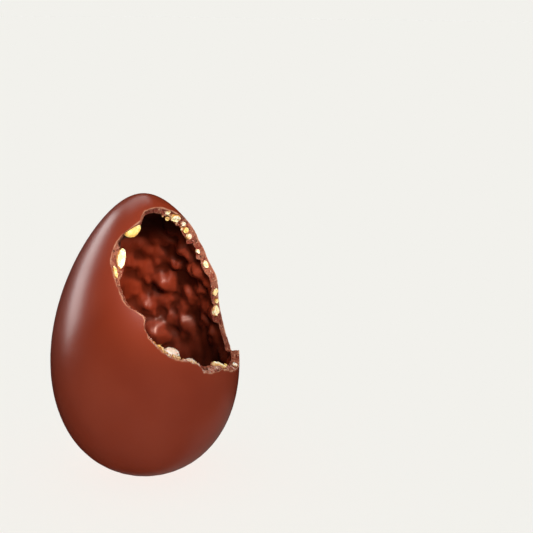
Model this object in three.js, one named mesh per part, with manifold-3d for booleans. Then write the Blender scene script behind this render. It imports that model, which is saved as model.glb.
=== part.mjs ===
// A hollow chocolate egg with whole hazelnuts in its wall, broken open at one side.
// Millimetres, +Z up along the egg's axis, origin in the middle of the flat spot it stands on.
// The break faces -Y. The wall is one solid; each hazelnut that shows in the break is another.

import * as THREE from 'three';
import { mergeVertices } from 'three/addons/utils/BufferGeometryUtils.js';
import Module from 'manifold-3d';

const wasm = await Module();
wasm.setup();

// ---- Driving dimensions -------------------------------------------------------------------

const EGG_HEIGHT = 190;
const FLAT_DEPTH = 2.5;             // how much of the round bottom the flat spot takes away
const GIRTH = 62.2;                 // radius scale; the widest diameter comes to 127
const TAPER = [0.215, 0.032, 0.045]; // narrowing towards the tip, by powers of cos(polar angle)

const WALL = 5.6;                   // chocolate between the lumps
const FLOOR_EXTRA = 3;              // more chocolate where it pooled in the mould's blunt end
const FLOOR_START = 150;            // polar angle, in degrees, from which it pooled
const LUMP_FALL = 1.25;             // how steeply a lump falls away towards its rim
const LUMP_BLEND = 3;               // how sharp the valleys between neighbouring lumps are
const LUMP_SPACING = 15.5;          // least distance between two nuts that lie in the wall
const LUMP_TRIES = 1100;
const LUMP_ACROSS = [14, 20];       // smallest and largest
const LUMP_PROUD = [4.2, 7.6];
const SEED = 20417;

const OPENING_POLAR = 64;           // polar angle of the middle of the break, on the -Y side
const BREAK_OUTSIDE = 14;           // how far the cutting surface runs out of the wall
const BREAK_INSIDE = 19;            // and how far it runs into the hollow
const BREAK_ROUGHNESS = 0.35;       // how far the broken face strays in and out
const ROUGH_DEPTHS = [0.8, 1.6];    // depths down the face where it strays, in wall thicknesses

const CLEARANCE = 0.3;              // gap between a nut and its pocket
const COAT = 1.3;                   // chocolate over a nut on the hollow's side
const LUMP_MARGIN = 5;              // how much wider than its nut a lump over a broken nut is

const OUTER_SEGMENTS = 48;
const OUTER_ROWS = 28;
const HOLLOW_DETAIL = 17;
const NUT_SEGMENTS = 9;
const NUT_ROWS = 6;

// The broken edge, clockwise seen from inside: clock angle about the middle of the break
// (0 towards +X, 90 up), angle away from the middle, and slant of the broken face in degrees,
// positive where the hollow's side of the wall reaches further into the opening.
const BROKEN_EDGE = [
  [0, 73.5, 26], [4, 70, 26], [8, 64, 24], [12, 60, 14], [17, 60.5, 10], [22, 60.2, 20],
  [27, 57, 25], [32, 56.8, 25], [37, 52.5, 25], [43, 48.5, 15], [50, 45.3, 0], [58, 41.8, -8],
  [66, 39.6, -10], [76, 39.1, -10], [84, 39.4, -5], [94, 42, 0], [104, 44.6, -8], [112, 47.4, -8],
  [118, 48.2, 0], [124, 48.2, 0], [129, 51.9, 0], [133, 56, -25], [137, 59.6, -25],
  [142, 62.8, 15], [147, 63.8, 22], [152, 62.7, 18], [157, 60.1, 10], [163, 57.6, 5],
  [169, 55, 5], [174.5, 52.2, 8], [179, 47.6, 8], [184, 43.6, 8], [191, 45.3, 5],
  [200, 43.3, 0], [209, 40.9, 5], [219, 37.8, 5], [230, 34.3, 5], [242, 32.4, 8],
  [249, 32.6, 12], [253, 34.2, 34], [262, 34.3, 34], [272, 34.2, 30], [281, 34.6, 30],
  [288, 36.6, 35], [297, 40.2, 35], [307, 45, 30], [317, 51, 25], [323, 53.8, 10],
  [327, 52, 0], [331, 58, -8], [337.5, 71.4, 25], [343, 74.3, 38], [348, 75.8, 38],
  [354, 75.5, 34],
];

// Nuts in the broken face: clock angle, distance down the face from the outer edge, length
// along the edge, width through the wall, thickness across the face, turn in the face, and
// how far the nut stands out of the face. Most nuts have their middle in the face and are
// snapped off flat where they stand out that far; a whole one keeps its round top.
const BROKEN_NUTS = [
  { clock: 129.8, down: 6.1, long: 13, wide: 8, thick: 9, turn: 0, proud: 3.2, whole: true },
  { clock: 146.2, down: 8.2, long: 14.5, wide: 6.4, thick: 11, turn: 0, proud: 0.7 },
  { clock: 154.6, down: 2.7, long: 10, wide: 3, thick: 7, turn: -4, proud: 0.5 },
  { clock: 80.3, down: 2.7, long: 4.4, wide: 3.8, thick: 6, turn: 10, proud: 0.4 },
  { clock: 64.2, down: 4, long: 9.8, wide: 6.4, thick: 10, turn: 5, proud: 0.8 },
  { clock: 72, down: 7.6, long: 3.6, wide: 3.2, thick: 5, turn: 0, proud: 0.6 },
  { clock: 51.4, down: 3.5, long: 4.6, wide: 3.6, thick: 6, turn: 20, proud: 0.5 },
  { clock: 45.4, down: 4.9, long: 5.4, wide: 4.4, thick: 8, turn: 0, proud: 0.7 },
  { clock: 39.4, down: 6, long: 5, wide: 4.6, thick: 8, turn: 0, proud: 0.4 },
  { clock: 27.5, down: 5.5, long: 4, wide: 3.4, thick: 5, turn: 30, proud: 0.3 },
  { clock: 19.2, down: 3.5, long: 6, wide: 4.4, thick: 8, turn: 0, proud: 0.5 },
  { clock: 5.6, down: 3.4, long: 6.8, wide: 5.2, thick: 8, turn: 0, proud: 0.7 },
  { clock: 2.2, down: 2.8, long: 3.8, wide: 3.8, thick: 6, turn: 0, proud: 0.5 },
  { clock: 358.4, down: 5.4, long: 8.6, wide: 7, thick: 10, turn: 0, proud: 0.7 },
  { clock: 205, down: 3.4, long: 5, wide: 4.4, thick: 6, turn: 0, proud: 2.4, whole: true },
  { clock: 217.4, down: 5, long: 12.6, wide: 8.4, thick: 12, turn: 0, proud: 6, whole: true },
  { clock: 238.5, down: 4.2, long: 11, wide: 6.6, thick: 8.4, turn: 0, proud: 2.4, whole: true },
  { clock: 284, down: 4.9, long: 12, wide: 3.8, thick: 7, turn: -36, proud: 1.6 },
  { clock: 298, down: 5.4, long: 8.6, wide: 3.2, thick: 6.4, turn: 6, proud: 0.8 },
  { clock: 315.5, down: 3, long: 6, wide: 4, thick: 5.4, turn: 0, proud: 0.4 },
];

// Nuts under the hollow's side of the wall that face the opening: azimuth in degrees,
// height, width across and how far they stand into the hollow.
const BACK_LUMPS = [
  [27, 123, 20, 8], [-9, 136, 18, 7], [15, 138, 13, 5], [44, 131, 16, 6.5], [33, 145, 14, 5.5],
  [-1, 152, 14, 5.5], [8, 112, 15, 6], [13, 98, 16, 7], [42, 104, 17, 6.5], [37, 85, 16, 6.5],
  [55, 117, 15, 6], [-21, 126, 13, 5], [-5, 119, 14, 5.5], [-14, 86, 16, 6], [9, 75, 15, 6],
  [-26, 73, 13, 5.5], [26, 92, 13, 5], [-3, 95, 14, 5.5], [-10, 106, 13, 5], [24, 72, 15, 6],
  [61, 138, 15, 6], [24, 157, 14, 6], [6, 167, 14, 6],
];

// ---- Shape of the egg ---------------------------------------------------------------------

const HALF = (EGG_HEIGHT + FLAT_DEPTH) / 2;
const rad = THREE.MathUtils.degToRad;

/** Radius and height of the egg's profile at a polar angle, before its flat spot is taken off. */
function profile(theta) {
  const c = Math.cos(theta);
  const narrowing = 1 - TAPER[0] * c - TAPER[1] * c * c - TAPER[2] * c * c * c;
  return { r: GIRTH * Math.sin(theta) * narrowing, z: HALF * (1 + c) - FLAT_DEPTH };
}

/** Polar angle whose cosine is given, safe against rounding. */
function polarAngle(cosine) {
  return Math.acos(THREE.MathUtils.clamp(cosine, -1, 1));
}

/** Point on the outer surface for a direction on the unit sphere. */
function eggPoint(dir) {
  const { r, z } = profile(polarAngle(dir.z));
  const across = Math.hypot(dir.x, dir.y) || 1;
  return new THREE.Vector3(r * dir.x / across, r * dir.y / across, z);
}

/** Outward normal of the outer surface for a direction on the unit sphere. */
function eggNormal(dir) {
  const step = 1e-4;
  const theta = THREE.MathUtils.clamp(polarAngle(dir.z), step, Math.PI - step);
  const before = profile(theta - step);
  const after = profile(theta + step);
  const phi = Math.atan2(dir.y, dir.x);
  const out = before.z - after.z;
  const up = after.r - before.r;
  return new THREE.Vector3(out * Math.cos(phi), out * Math.sin(phi), up).normalize();
}

/** Direction on the unit sphere: angle down from +Z, then angle round from +X towards +Y. */
function direction(theta, phi) {
  const across = Math.sin(theta);
  return new THREE.Vector3(across * Math.cos(phi), across * Math.sin(phi), Math.cos(theta));
}

// ---- The break ----------------------------------------------------------------------------

const breakMiddle = direction(rad(OPENING_POLAR), rad(-90));
const breakRight = new THREE.Vector3(1, 0, 0);
const breakUp = new THREE.Vector3().crossVectors(breakMiddle, breakRight);

/** Direction at an angle away from the middle of the break, at a clock angle about it. */
function breakDirection(reach, clock) {
  return breakMiddle.clone().multiplyScalar(Math.cos(reach))
    .addScaledVector(breakRight, Math.sin(reach) * Math.cos(clock))
    .addScaledVector(breakUp, Math.sin(reach) * Math.sin(clock));
}

/** The outer edge point, the way into the opening and the line down the broken face there. */
function edgeStation([clock, reach, slant]) {
  const nudge = 0.5;
  const dir = breakDirection(rad(reach), rad(clock));
  const edge = eggPoint(dir);
  const inward = eggPoint(breakDirection(rad(reach - nudge), rad(clock))).sub(edge).normalize();
  const slope = inward.clone().multiplyScalar(Math.sin(rad(slant)))
    .addScaledVector(eggNormal(dir), -Math.cos(rad(slant)));
  return { edge, inward, slope };
}

/** The broken edge at any clock angle, on straight lines between its points. */
function edgeAt(clock) {
  const wrapped = (clock + 360) % 360;
  const next = BROKEN_EDGE.findIndex(([c]) => c > wrapped);
  const after = next < 0 ? [360, ...BROKEN_EDGE[0].slice(1)] : BROKEN_EDGE[next];
  const before = BROKEN_EDGE.at(next < 0 ? -1 : next - 1);
  const share = (wrapped - before[0]) / (after[0] - before[0]);
  return edgeStation(before.map((value, i) => THREE.MathUtils.lerp(value, after[i], share)));
}

/** Where a nut lies: its middle, the way along the edge and the way out of the broken face. */
function placeNut(nut) {
  const { edge, inward, slope } = edgeAt(nut.clock);
  const along = edgeAt(nut.clock + 1).edge.sub(edgeAt(nut.clock - 1).edge);
  along.addScaledVector(slope, -along.dot(slope)).normalize();
  const facing = new THREE.Vector3().crossVectors(along, slope);
  facing.multiplyScalar(Math.sign(facing.dot(inward)));
  const sunk = nut.whole ? nut.thick / 2 - nut.proud : 0;
  const centre = edge.clone().addScaledVector(slope, nut.down).addScaledVector(facing, -sunk);
  return { ...nut, centre, along, facing };
}

const nutPlaces = BROKEN_NUTS.map(placeNut);

// ---- Lumps on the hollow's side -----------------------------------------------------------

/** Seeded generator of numbers between 0 and 1. */
function makeRandom(seed) {
  let state = seed;
  return () => {
    state = (state * 48271) % 2147483647;
    return state / 2147483647;
  };
}

/** Lumps over all nuts in the wall: those in the break, the ones behind it, and the rest. */
function makeLumps() {
  const lumps = nutPlaces.map((nut) => ({
    at: eggSurfaceNear(nut.centre),
    across: nut.long + LUMP_MARGIN,
    proud: Math.max(0, nut.down + nut.wide / 2 + COAT - WALL),
  }));
  for (const [azimuth, height, across, proud] of BACK_LUMPS) {
    const theta = polarAngle((height + FLAT_DEPTH) / HALF - 1);
    lumps.push({ at: eggPoint(direction(theta, rad(azimuth))), across, proud });
  }
  const random = makeRandom(SEED);
  for (let i = 0; i < LUMP_TRIES; i += 1) {
    const theta = polarAngle(1 - 2 * random());
    const at = eggPoint(direction(theta, 2 * Math.PI * random()));
    const across = THREE.MathUtils.lerp(...LUMP_ACROSS, random());
    const proud = THREE.MathUtils.lerp(...LUMP_PROUD, random());
    if (lumps.every((other) => other.at.distanceTo(at) > LUMP_SPACING)) {
      lumps.push({ at, across, proud });
    }
  }
  return lumps;
}

/** Point of the outer surface level with a point in the wall. */
function eggSurfaceNear(point) {
  const theta = polarAngle((point.z + FLAT_DEPTH) / HALF - 1);
  return eggPoint(direction(theta, Math.atan2(point.y, point.x)));
}

const lumps = makeLumps();

/** Wall thickness under an outer surface point: the plain wall plus the lumps, run together. */
function wallThickness(point, dir) {
  let sum = 0;
  for (const { at, across, proud } of lumps) {
    const away = 2 * at.distanceTo(point) / across;
    sum += (proud * Math.exp(-LUMP_FALL * away * away)) ** LUMP_BLEND;
  }
  const pooled = THREE.MathUtils.smoothstep(polarAngle(dir.z), rad(FLOOR_START), Math.PI);
  return WALL + FLOOR_EXTRA * pooled + sum ** (1 / LUMP_BLEND);
}

// ---- Meshes and solids --------------------------------------------------------------------

/** A manifold-3d solid of a closed three.js geometry. */
function solidOf(geometry) {
  const bare = geometry.clone();
  bare.deleteAttribute('normal');
  bare.deleteAttribute('uv');
  const merged = mergeVertices(bare, 1e-4);
  return new wasm.Manifold(new wasm.Mesh({
    numProp: 3,
    vertProperties: new Float32Array(merged.attributes.position.array),
    triVerts: new Uint32Array(merged.index.array),
  }));
}

/** A three.js geometry of a manifold-3d solid. */
function geometryOf(solid) {
  const mesh = solid.getMesh();
  const geometry = new THREE.BufferGeometry();
  geometry.setAttribute('position', new THREE.BufferAttribute(mesh.vertProperties, 3));
  geometry.setIndex(new THREE.BufferAttribute(mesh.triVerts, 1));
  geometry.computeVertexNormals();
  return geometry;
}

/** A closed surface through rings of points, all of one length, with a point at each end. */
function ringGeometry(firstPoint, rings, lastPoint) {
  const count = rings[0].length;
  const points = [firstPoint, ...rings.flat(), lastPoint];
  const index = [];
  const at = (ring, i) => 1 + ring * count + (i % count);
  for (let i = 0; i < count; i += 1) {
    index.push(0, at(0, i), at(0, i + 1));
    for (let ring = 0; ring + 1 < rings.length; ring += 1) {
      index.push(at(ring, i), at(ring + 1, i), at(ring + 1, i + 1));
      index.push(at(ring, i), at(ring + 1, i + 1), at(ring, i + 1));
    }
    index.push(at(rings.length - 1, i), points.length - 1, at(rings.length - 1, i + 1));
  }
  const geometry = new THREE.BufferGeometry();
  geometry.setAttribute('position', new THREE.Float32BufferAttribute(
    points.flatMap((p) => p.toArray()), 3));
  geometry.setIndex(index);
  return geometry;
}

/** The whole egg, solid, standing on its flat spot. */
function outerGeometry() {
  const flatTheta = polarAngle(FLAT_DEPTH / HALF - 1);
  const outline = [new THREE.Vector2(0, 0)];
  for (let row = 0; row < OUTER_ROWS; row += 1) {
    const { r, z } = profile(flatTheta * (1 - row / OUTER_ROWS));
    outline.push(new THREE.Vector2(r, z));
  }
  outline.push(new THREE.Vector2(0, EGG_HEIGHT));
  return new THREE.LatheGeometry(outline, OUTER_SEGMENTS).rotateX(Math.PI / 2);
}

/** The hollow, solid, with the lumps pressed into it. */
function hollowGeometry() {
  const geometry = new THREE.IcosahedronGeometry(1, HOLLOW_DETAIL);
  const position = geometry.attributes.position;
  const dir = new THREE.Vector3();
  for (let i = 0; i < position.count; i += 1) {
    dir.fromBufferAttribute(position, i);
    const outer = eggPoint(dir);
    const inner = outer.clone().addScaledVector(eggNormal(dir), -wallThickness(outer, dir));
    position.setXYZ(i, inner.x, inner.y, inner.z);
  }
  return geometry;
}

/** The missing piece: a plug through the wall whose side is the broken face. */
function missingGeometry() {
  const stations = BROKEN_EDGE.map(edgeStation);
  const random = makeRandom(SEED);
  const level = (s, depth, rough) => s.edge.clone().addScaledVector(s.slope, depth)
    .addScaledVector(s.inward, rough * (2 * random() - 1));
  const rings = [
    stations.map((s) => level(s, -BREAK_OUTSIDE, 0)),
    stations.map((s) => level(s, 0, 0)),
    ...ROUGH_DEPTHS.map((d) => stations.map((s) => level(s, WALL * d, BREAK_ROUGHNESS))),
    stations.map((s) => level(s, BREAK_INSIDE, 0)),
  ];
  const hollowMiddle = new THREE.Vector3(0, 0, EGG_HEIGHT / 2);
  const farOutside = breakMiddle.clone().multiplyScalar(EGG_HEIGHT).add(hollowMiddle);
  return ringGeometry(farOutside, rings, hollowMiddle);
}

/** A nut, or with grow its pocket: a rounded ellipsoid, flat where it snapped off. */
function nutGeometry(nut, grow) {
  const geometry = new THREE.SphereGeometry(1, NUT_SEGMENTS, NUT_ROWS).rotateX(Math.PI / 2);
  const position = geometry.attributes.position;
  const half = [nut.long / 2 + grow, nut.wide / 2 + grow, nut.thick / 2 + grow];
  const limit = grow > 0 || nut.whole ? Infinity : nut.proud;
  const turned = new THREE.Vector3();
  for (let i = 0; i < position.count; i += 1) {
    turned.set(position.getX(i) * half[0], position.getY(i) * half[1], position.getZ(i) * half[2]);
    turned.z = Math.min(turned.z, limit);
    turned.applyAxisAngle(new THREE.Vector3(0, 0, 1), rad(nut.turn));
    position.setXYZ(i, turned.x, turned.y, turned.z);
  }
  const across = new THREE.Vector3().crossVectors(nut.facing, nut.along);
  const place = new THREE.Matrix4().makeBasis(nut.along, across, nut.facing).setPosition(nut.centre);
  return geometry.applyMatrix4(place);
}

/** The egg's wall: the whole egg less the hollow, the missing piece and the nuts' pockets. */
function wallSolid() {
  let wall = solidOf(outerGeometry())
    .subtract(solidOf(hollowGeometry()))
    .subtract(solidOf(missingGeometry()));
  for (const nut of nutPlaces) {
    wall = wall.subtract(solidOf(nutGeometry(nut, CLEARANCE)));
  }
  const pieces = wall.decompose();
  return pieces.reduce((best, piece) => (piece.volume() > best.volume() ? piece : best));
}

// ---- The object ---------------------------------------------------------------------------

const chocolate = new THREE.MeshStandardMaterial({ color: 0x7a352a, roughness: 0.4, metalness: 0 });
const nutFlesh = new THREE.MeshStandardMaterial({ color: 0xf0deb0, roughness: 0.6, metalness: 0 });

const egg = new THREE.Group();

const wallMesh = new THREE.Mesh(geometryOf(wallSolid()), chocolate);
wallMesh.name = 'chocolate_wall';
egg.add(wallMesh);

nutPlaces.forEach((nut, i) => {
  const mesh = new THREE.Mesh(nutGeometry(nut, 0), nutFlesh.clone());
  mesh.name = `hazelnut_${String(i + 1).padStart(2, '0')}`;
  egg.add(mesh);
});

export default egg;
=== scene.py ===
"""A hollow chocolate egg with hazelnuts in its wall, broken open at one side.

Sizes are millimetres until a mesh is made; +Z is up along the egg's axis and the break faces -Y.
"""

from __future__ import annotations

import logging
import math
from dataclasses import dataclass, field
from enum import Enum

import bpy
import numpy as np
from mathutils import Matrix

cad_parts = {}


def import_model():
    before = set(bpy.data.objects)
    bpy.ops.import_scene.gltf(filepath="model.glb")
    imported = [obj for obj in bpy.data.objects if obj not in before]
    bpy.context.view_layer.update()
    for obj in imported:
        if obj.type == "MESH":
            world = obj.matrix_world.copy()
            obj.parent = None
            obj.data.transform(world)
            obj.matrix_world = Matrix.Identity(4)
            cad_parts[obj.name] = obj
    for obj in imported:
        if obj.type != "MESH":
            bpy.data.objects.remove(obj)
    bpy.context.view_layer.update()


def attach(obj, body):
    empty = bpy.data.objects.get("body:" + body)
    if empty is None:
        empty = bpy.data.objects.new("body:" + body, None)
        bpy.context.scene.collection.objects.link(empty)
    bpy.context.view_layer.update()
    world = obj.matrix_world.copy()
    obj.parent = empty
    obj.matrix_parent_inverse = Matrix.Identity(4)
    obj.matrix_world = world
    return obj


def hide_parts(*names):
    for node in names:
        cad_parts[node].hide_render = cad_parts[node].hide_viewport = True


MM = 0.001
WALL_NODE = "chocolate_wall"
LOG = logging.getLogger("egg")

Array = np.ndarray
NUDGE = math.radians(0.5)


# ---- Shape of the egg ---------------------------------------------------------------------


@dataclass(frozen=True)
class EggShape:
    """The egg's outer surface, a closed formula in the angle down from its tip.

    Attributes:
        height: Tip to flat spot.
        flat_depth: How much of the round bottom the flat spot takes away.
        girth: Radius scale.
        taper: Narrowing towards the tip, by powers of the cosine of the polar angle.
    """

    height: float = 190.0
    flat_depth: float = 2.5
    girth: float = 62.2
    taper: tuple[float, ...] = (0.215, 0.032, 0.045)

    @property
    def half(self) -> float:
        """Half the length of the egg before its flat spot is taken off."""
        return (self.height + self.flat_depth) / 2

    def profile(self, theta: Array) -> tuple[Array, Array]:
        """Radius and height at polar angles.

        r = girth * sin(theta) * (1 - sum of taper[k] * cos(theta)^(k+1)), and
        z = half * (1 + cos(theta)) - flat_depth.

        Args:
            theta: Angles down from the tip, in radians.

        Returns:
            Radii and heights.
        """
        c = np.cos(theta)
        narrowing = 1 - sum(k * c ** (i + 1) for i, k in enumerate(self.taper))
        return self.girth * np.sin(theta) * narrowing, self.half * (1 + c) - self.flat_depth

    def polar_of_height(self, z: Array) -> Array:
        """Polar angle at which the profile has a height."""
        return np.arccos(np.clip((z + self.flat_depth) / self.half - 1, -1, 1))

    def point(self, dirs: Array) -> Array:
        """Points of the surface for unit directions (..., 3)."""
        r, z = self.profile(np.arccos(np.clip(dirs[..., 2], -1, 1)))
        across = np.maximum(np.hypot(dirs[..., 0], dirs[..., 1]), 1e-12)
        return np.stack([r * dirs[..., 0] / across, r * dirs[..., 1] / across, z], axis=-1)

    def normal(self, dirs: Array) -> Array:
        """Outward normals for unit directions: the profile's tangent turned a quarter.

        Args:
            dirs: Unit directions (..., 3).

        Returns:
            Unit normals (..., 3).
        """
        step = 1e-4
        theta = np.clip(np.arccos(np.clip(dirs[..., 2], -1, 1)), step, math.pi - step)
        r0, z0 = self.profile(theta - step)
        r1, z1 = self.profile(theta + step)
        phi = np.arctan2(dirs[..., 1], dirs[..., 0])
        out = z0 - z1
        return unit(np.stack([out * np.cos(phi), out * np.sin(phi), r1 - r0], axis=-1))

    def held_in(self, points: Array, gap: float) -> Array:
        """Points with those nearer to the skin than a gap, or beyond it, moved in to that gap.

        Args:
            points: Points (..., 3).
            gap: The gap.

        Returns:
            The points held in.
        """
        radius = self.profile(self.polar_of_height(points[..., 2]))[0] - gap
        share = np.minimum(1, radius / np.maximum(np.hypot(points[..., 0], points[..., 1]), 1e-9))
        return points * np.stack([share, share, np.ones_like(share)], axis=-1)

    def point_beside(self, point: Array) -> Array:
        """Point of the surface level with points in the wall (..., 3)."""
        theta = self.polar_of_height(point[..., 2])
        return self.point(sphere_direction(theta, np.arctan2(point[..., 1], point[..., 0])))


def unit(vectors: Array) -> Array:
    """Vectors divided by their lengths along the last axis."""
    return vectors / np.linalg.norm(vectors, axis=-1, keepdims=True)


def sphere_direction(theta: Array, phi: Array) -> Array:
    """Unit directions from the angle down from +Z and the angle round from +X."""
    across = np.sin(theta)
    return np.stack([across * np.cos(phi), across * np.sin(phi), np.cos(theta) + 0 * phi], axis=-1)


def smoothstep(x: Array) -> Array:
    """3x^2 - 2x^3 between 0 and 1, flat beyond."""
    x = np.clip(x, 0, 1)
    return x * x * (3 - 2 * x)


def ring_mean(values: Array, weights: Array) -> Array:
    """Values round a closed ring, each replaced by the weighted sum of its neighbourhood."""
    count = len(values)
    return np.convolve(np.tile(values, 3), weights, "same")[count:-count]


class WaveNoise:
    """Smooth seeded noise with mean 0 and deviation 1 in space.

    The value at p is sqrt(2 / n) times the sum over n plane waves of sin(k . p + phase), with the
    waves' directions spread over the sphere and their lengths near one wavelength.
    """

    def __init__(self, wavelength: float, seed: int, waves: int = 28) -> None:
        """Draws the waves.

        Args:
            wavelength: Mean length of a wave, in millimetres.
            seed: Seed of the draw.
            waves: How many waves are summed.
        """
        rng = np.random.default_rng(seed)
        lengths = wavelength * rng.uniform(0.7, 1.5, waves)
        self.k = unit(rng.normal(size=(waves, 3))) * (2 * math.pi / lengths)[:, None]
        self.phase = rng.uniform(0, 2 * math.pi, waves)

    def __call__(self, points: Array) -> Array:
        """Noise at points (..., 3)."""
        waves = np.sin(points @ self.k.T + self.phase)
        return waves.sum(axis=-1) * math.sqrt(2 / len(self.phase))


# ---- The break ----------------------------------------------------------------------------


@dataclass(frozen=True)
class BrokenEdge:
    """The outer edge of the break, in polar coordinates about the middle of the opening.

    Attributes:
        polar: Polar angle of the opening's middle, on the -Y side, in degrees.
        rows: Clock angle, angle away from the middle and slant of the broken face, in degrees;
            slant is positive where the hollow's side reaches further into the opening.
    """

    polar: float = 64.0
    rows: tuple[tuple[float, float, float], ...] = (
        (0, 73.5, 26), (4, 70, 26), (8, 64, 24), (12, 60, 14), (17, 60.5, 10), (22, 60.2, 20),
        (27, 57, 25), (32, 56.8, 25), (37, 52.5, 25), (43, 48.5, 15), (50, 45.3, 0),
        (58, 41.8, -8), (66, 39.6, -10), (76, 39.1, -10), (84, 39.4, -5), (94, 42, 0),
        (104, 44.6, -8), (112, 47.4, -8), (118, 48.2, 0), (124, 48.2, 0), (129, 51.9, 0),
        (133, 56, -25), (137, 59.6, -25), (142, 62.8, 15), (147, 63.8, 22), (152, 62.7, 18),
        (157, 60.1, 10), (163, 57.6, 5), (169, 55, 5), (174.5, 52.2, 8), (179, 47.6, 8),
        (184, 43.6, 8), (191, 45.3, 5), (200, 43.3, 0), (209, 40.9, 5), (219, 37.8, 5),
        (230, 34.3, 5), (242, 32.4, 8), (249, 32.6, 12), (253, 34.2, 34), (262, 34.3, 34),
        (272, 34.2, 30), (281, 34.6, 30), (288, 36.6, 35), (297, 40.2, 35), (307, 45, 30),
        (317, 51, 25), (323, 53.8, 10), (327, 52, 0), (331, 58, -8), (337.5, 71.4, 25),
        (343, 74.3, 38), (348, 75.8, 38), (354, 75.5, 34),
    )

    def direction(self, reach: Array, clock: Array) -> Array:
        """Unit directions by polar coordinates about the middle of the opening.

        Args:
            reach: Angles away from the middle, in radians.
            clock: Clock angles about it.

        Returns:
            Directions (..., 3).
        """
        polar = math.radians(self.polar)
        middle = np.array([0.0, -math.sin(polar), math.cos(polar)])
        right = np.array([1.0, 0.0, 0.0])
        up = np.cross(middle, right)
        reach, clock = np.broadcast_arrays(reach, clock)
        return (
            np.cos(reach)[..., None] * middle
            + (np.sin(reach) * np.cos(clock))[..., None] * right
            + (np.sin(reach) * np.sin(clock))[..., None] * up
        )

    def straight(self, clock_deg: float) -> tuple[float, float, float]:
        """Clock, reach and slant on straight lines between rows.

        Args:
            clock_deg: Clock angle, in degrees.

        Returns:
            Clock, reach and slant, in radians.
        """
        table = np.radians(np.array(self.rows))
        clock = math.radians(clock_deg % 360)
        reach = np.interp(clock, table[:, 0], table[:, 1], period=2 * math.pi)
        slant = np.interp(clock, table[:, 0], table[:, 2], period=2 * math.pi)
        return clock, float(reach), float(slant)

    def smooth(self, shape: EggShape, count: int) -> tuple[Array, Array, Array]:
        """Clock, reach and slant in radians at stations spaced evenly along the edge.

        A closed Catmull-Rom curve runs through the rows, laid out in the plane with x = reach *
        cos(clock) and y = reach * sin(clock), and is cut into equal lengths on the egg.

        Args:
            shape: The egg.
            count: How many stations.

        Returns:
            Clock, reach and slant.
        """
        clock, reach, slant = np.radians(np.array(self.rows)).T
        knots = np.stack([reach * np.cos(clock), reach * np.sin(clock), slant], axis=-1)
        fine = 40
        t = np.linspace(0, 1, fine, endpoint=False)[None, :, None]
        before, here, after, beyond = (np.roll(knots, 1 - k, axis=0)[:, None] for k in range(4))
        curve = 0.5 * (
            2 * here
            + (after - before) * t
            + (2 * before - 5 * here + 4 * after - beyond) * t**2
            + (3 * here - before - 3 * after + beyond) * t**3
        ).reshape(-1, 3)
        curve = np.concatenate([curve, curve[:1]])
        reach = np.hypot(curve[:, 0], curve[:, 1])
        clock = np.unwrap(np.arctan2(curve[:, 1], curve[:, 0]))
        steps = np.linalg.norm(np.diff(shape.point(self.direction(reach, clock)), axis=0), axis=1)
        along = np.concatenate([[0], np.cumsum(steps)])
        cuts = np.linspace(0, along[-1], count, endpoint=False)
        return tuple(np.interp(cuts, along, value) for value in (clock, reach, curve[:, 2]))


@dataclass(frozen=True)
class FaceFrame:
    """Places on the broken face: the outer edge there, the way in, and the way down the face."""

    edge: Array
    inward: Array
    slope: Array

    @classmethod
    def at(cls, shape: EggShape, cut: BrokenEdge, clock: Array, reach: Array,
           slant: Array) -> FaceFrame:
        """Frames at edge stations.

        Args:
            shape: The egg.
            cut: The broken edge.
            clock: Clock angles, in radians.
            reach: Angles away from the opening's middle.
            slant: Slants of the face.

        Returns:
            The frames, as arrays as long as the stations.
        """
        dirs = cut.direction(reach, clock)
        edge = shape.point(dirs)
        inward = unit(shape.point(cut.direction(reach - NUDGE, clock)) - edge)
        slant = np.asarray(slant)[..., None]
        slope = inward * np.sin(slant) - shape.normal(dirs) * np.cos(slant)
        return cls(edge, inward, slope)


# ---- Nuts and lumps -----------------------------------------------------------------------


class NutKind(Enum):
    """How a nut or a bit in the break looks."""

    CREAM = "cream"
    YELLOW = "yellow"
    WHITE = "white"
    GOLDEN = "golden"
    SPECKLED = "speckled"
    SPLIT = "split"
    FLAKE = "flake"


@dataclass(frozen=True)
class Nut:
    """A hazelnut in the broken face.

    Attributes:
        clock: Clock angle about the opening, in degrees.
        down: Distance down the face from the outer edge.
        long: Length along the edge.
        wide: Width through the wall.
        thick: Thickness across the face.
        turn: Turn in the face, in degrees.
        proud: How far it stands out of the face, where it is snapped off unless it is whole.
        kind: Its look.
        whole: Whether it keeps its round top.
    """

    clock: float
    down: float
    long: float
    wide: float
    thick: float
    turn: float
    proud: float
    kind: NutKind
    whole: bool = False

    def place(self, shape: EggShape, cut: BrokenEdge) -> NutPlace:
        """The nut's middle and axes in the egg.

        Args:
            shape: The egg.
            cut: The broken edge.

        Returns:
            The place.
        """
        frames = [
            FaceFrame.at(shape, cut, *cut.straight(self.clock + aside)) for aside in (-1, 0, 1)
        ]
        slope = frames[1].slope
        along = frames[2].edge - frames[0].edge
        along = unit(along - along.dot(slope) * slope)
        facing = np.cross(along, slope)
        facing *= np.sign(facing.dot(frames[1].inward))
        sunk = self.thick / 2 - self.proud if self.whole else 0.0
        centre = frames[1].edge + slope * self.down - facing * sunk
        across = np.cross(facing, along)
        turn = math.radians(self.turn)
        axis_long = along * math.cos(turn) + across * math.sin(turn)
        axis_wide = across * math.cos(turn) - along * math.sin(turn)
        return NutPlace(self, centre, axis_long, axis_wide, facing)


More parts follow.
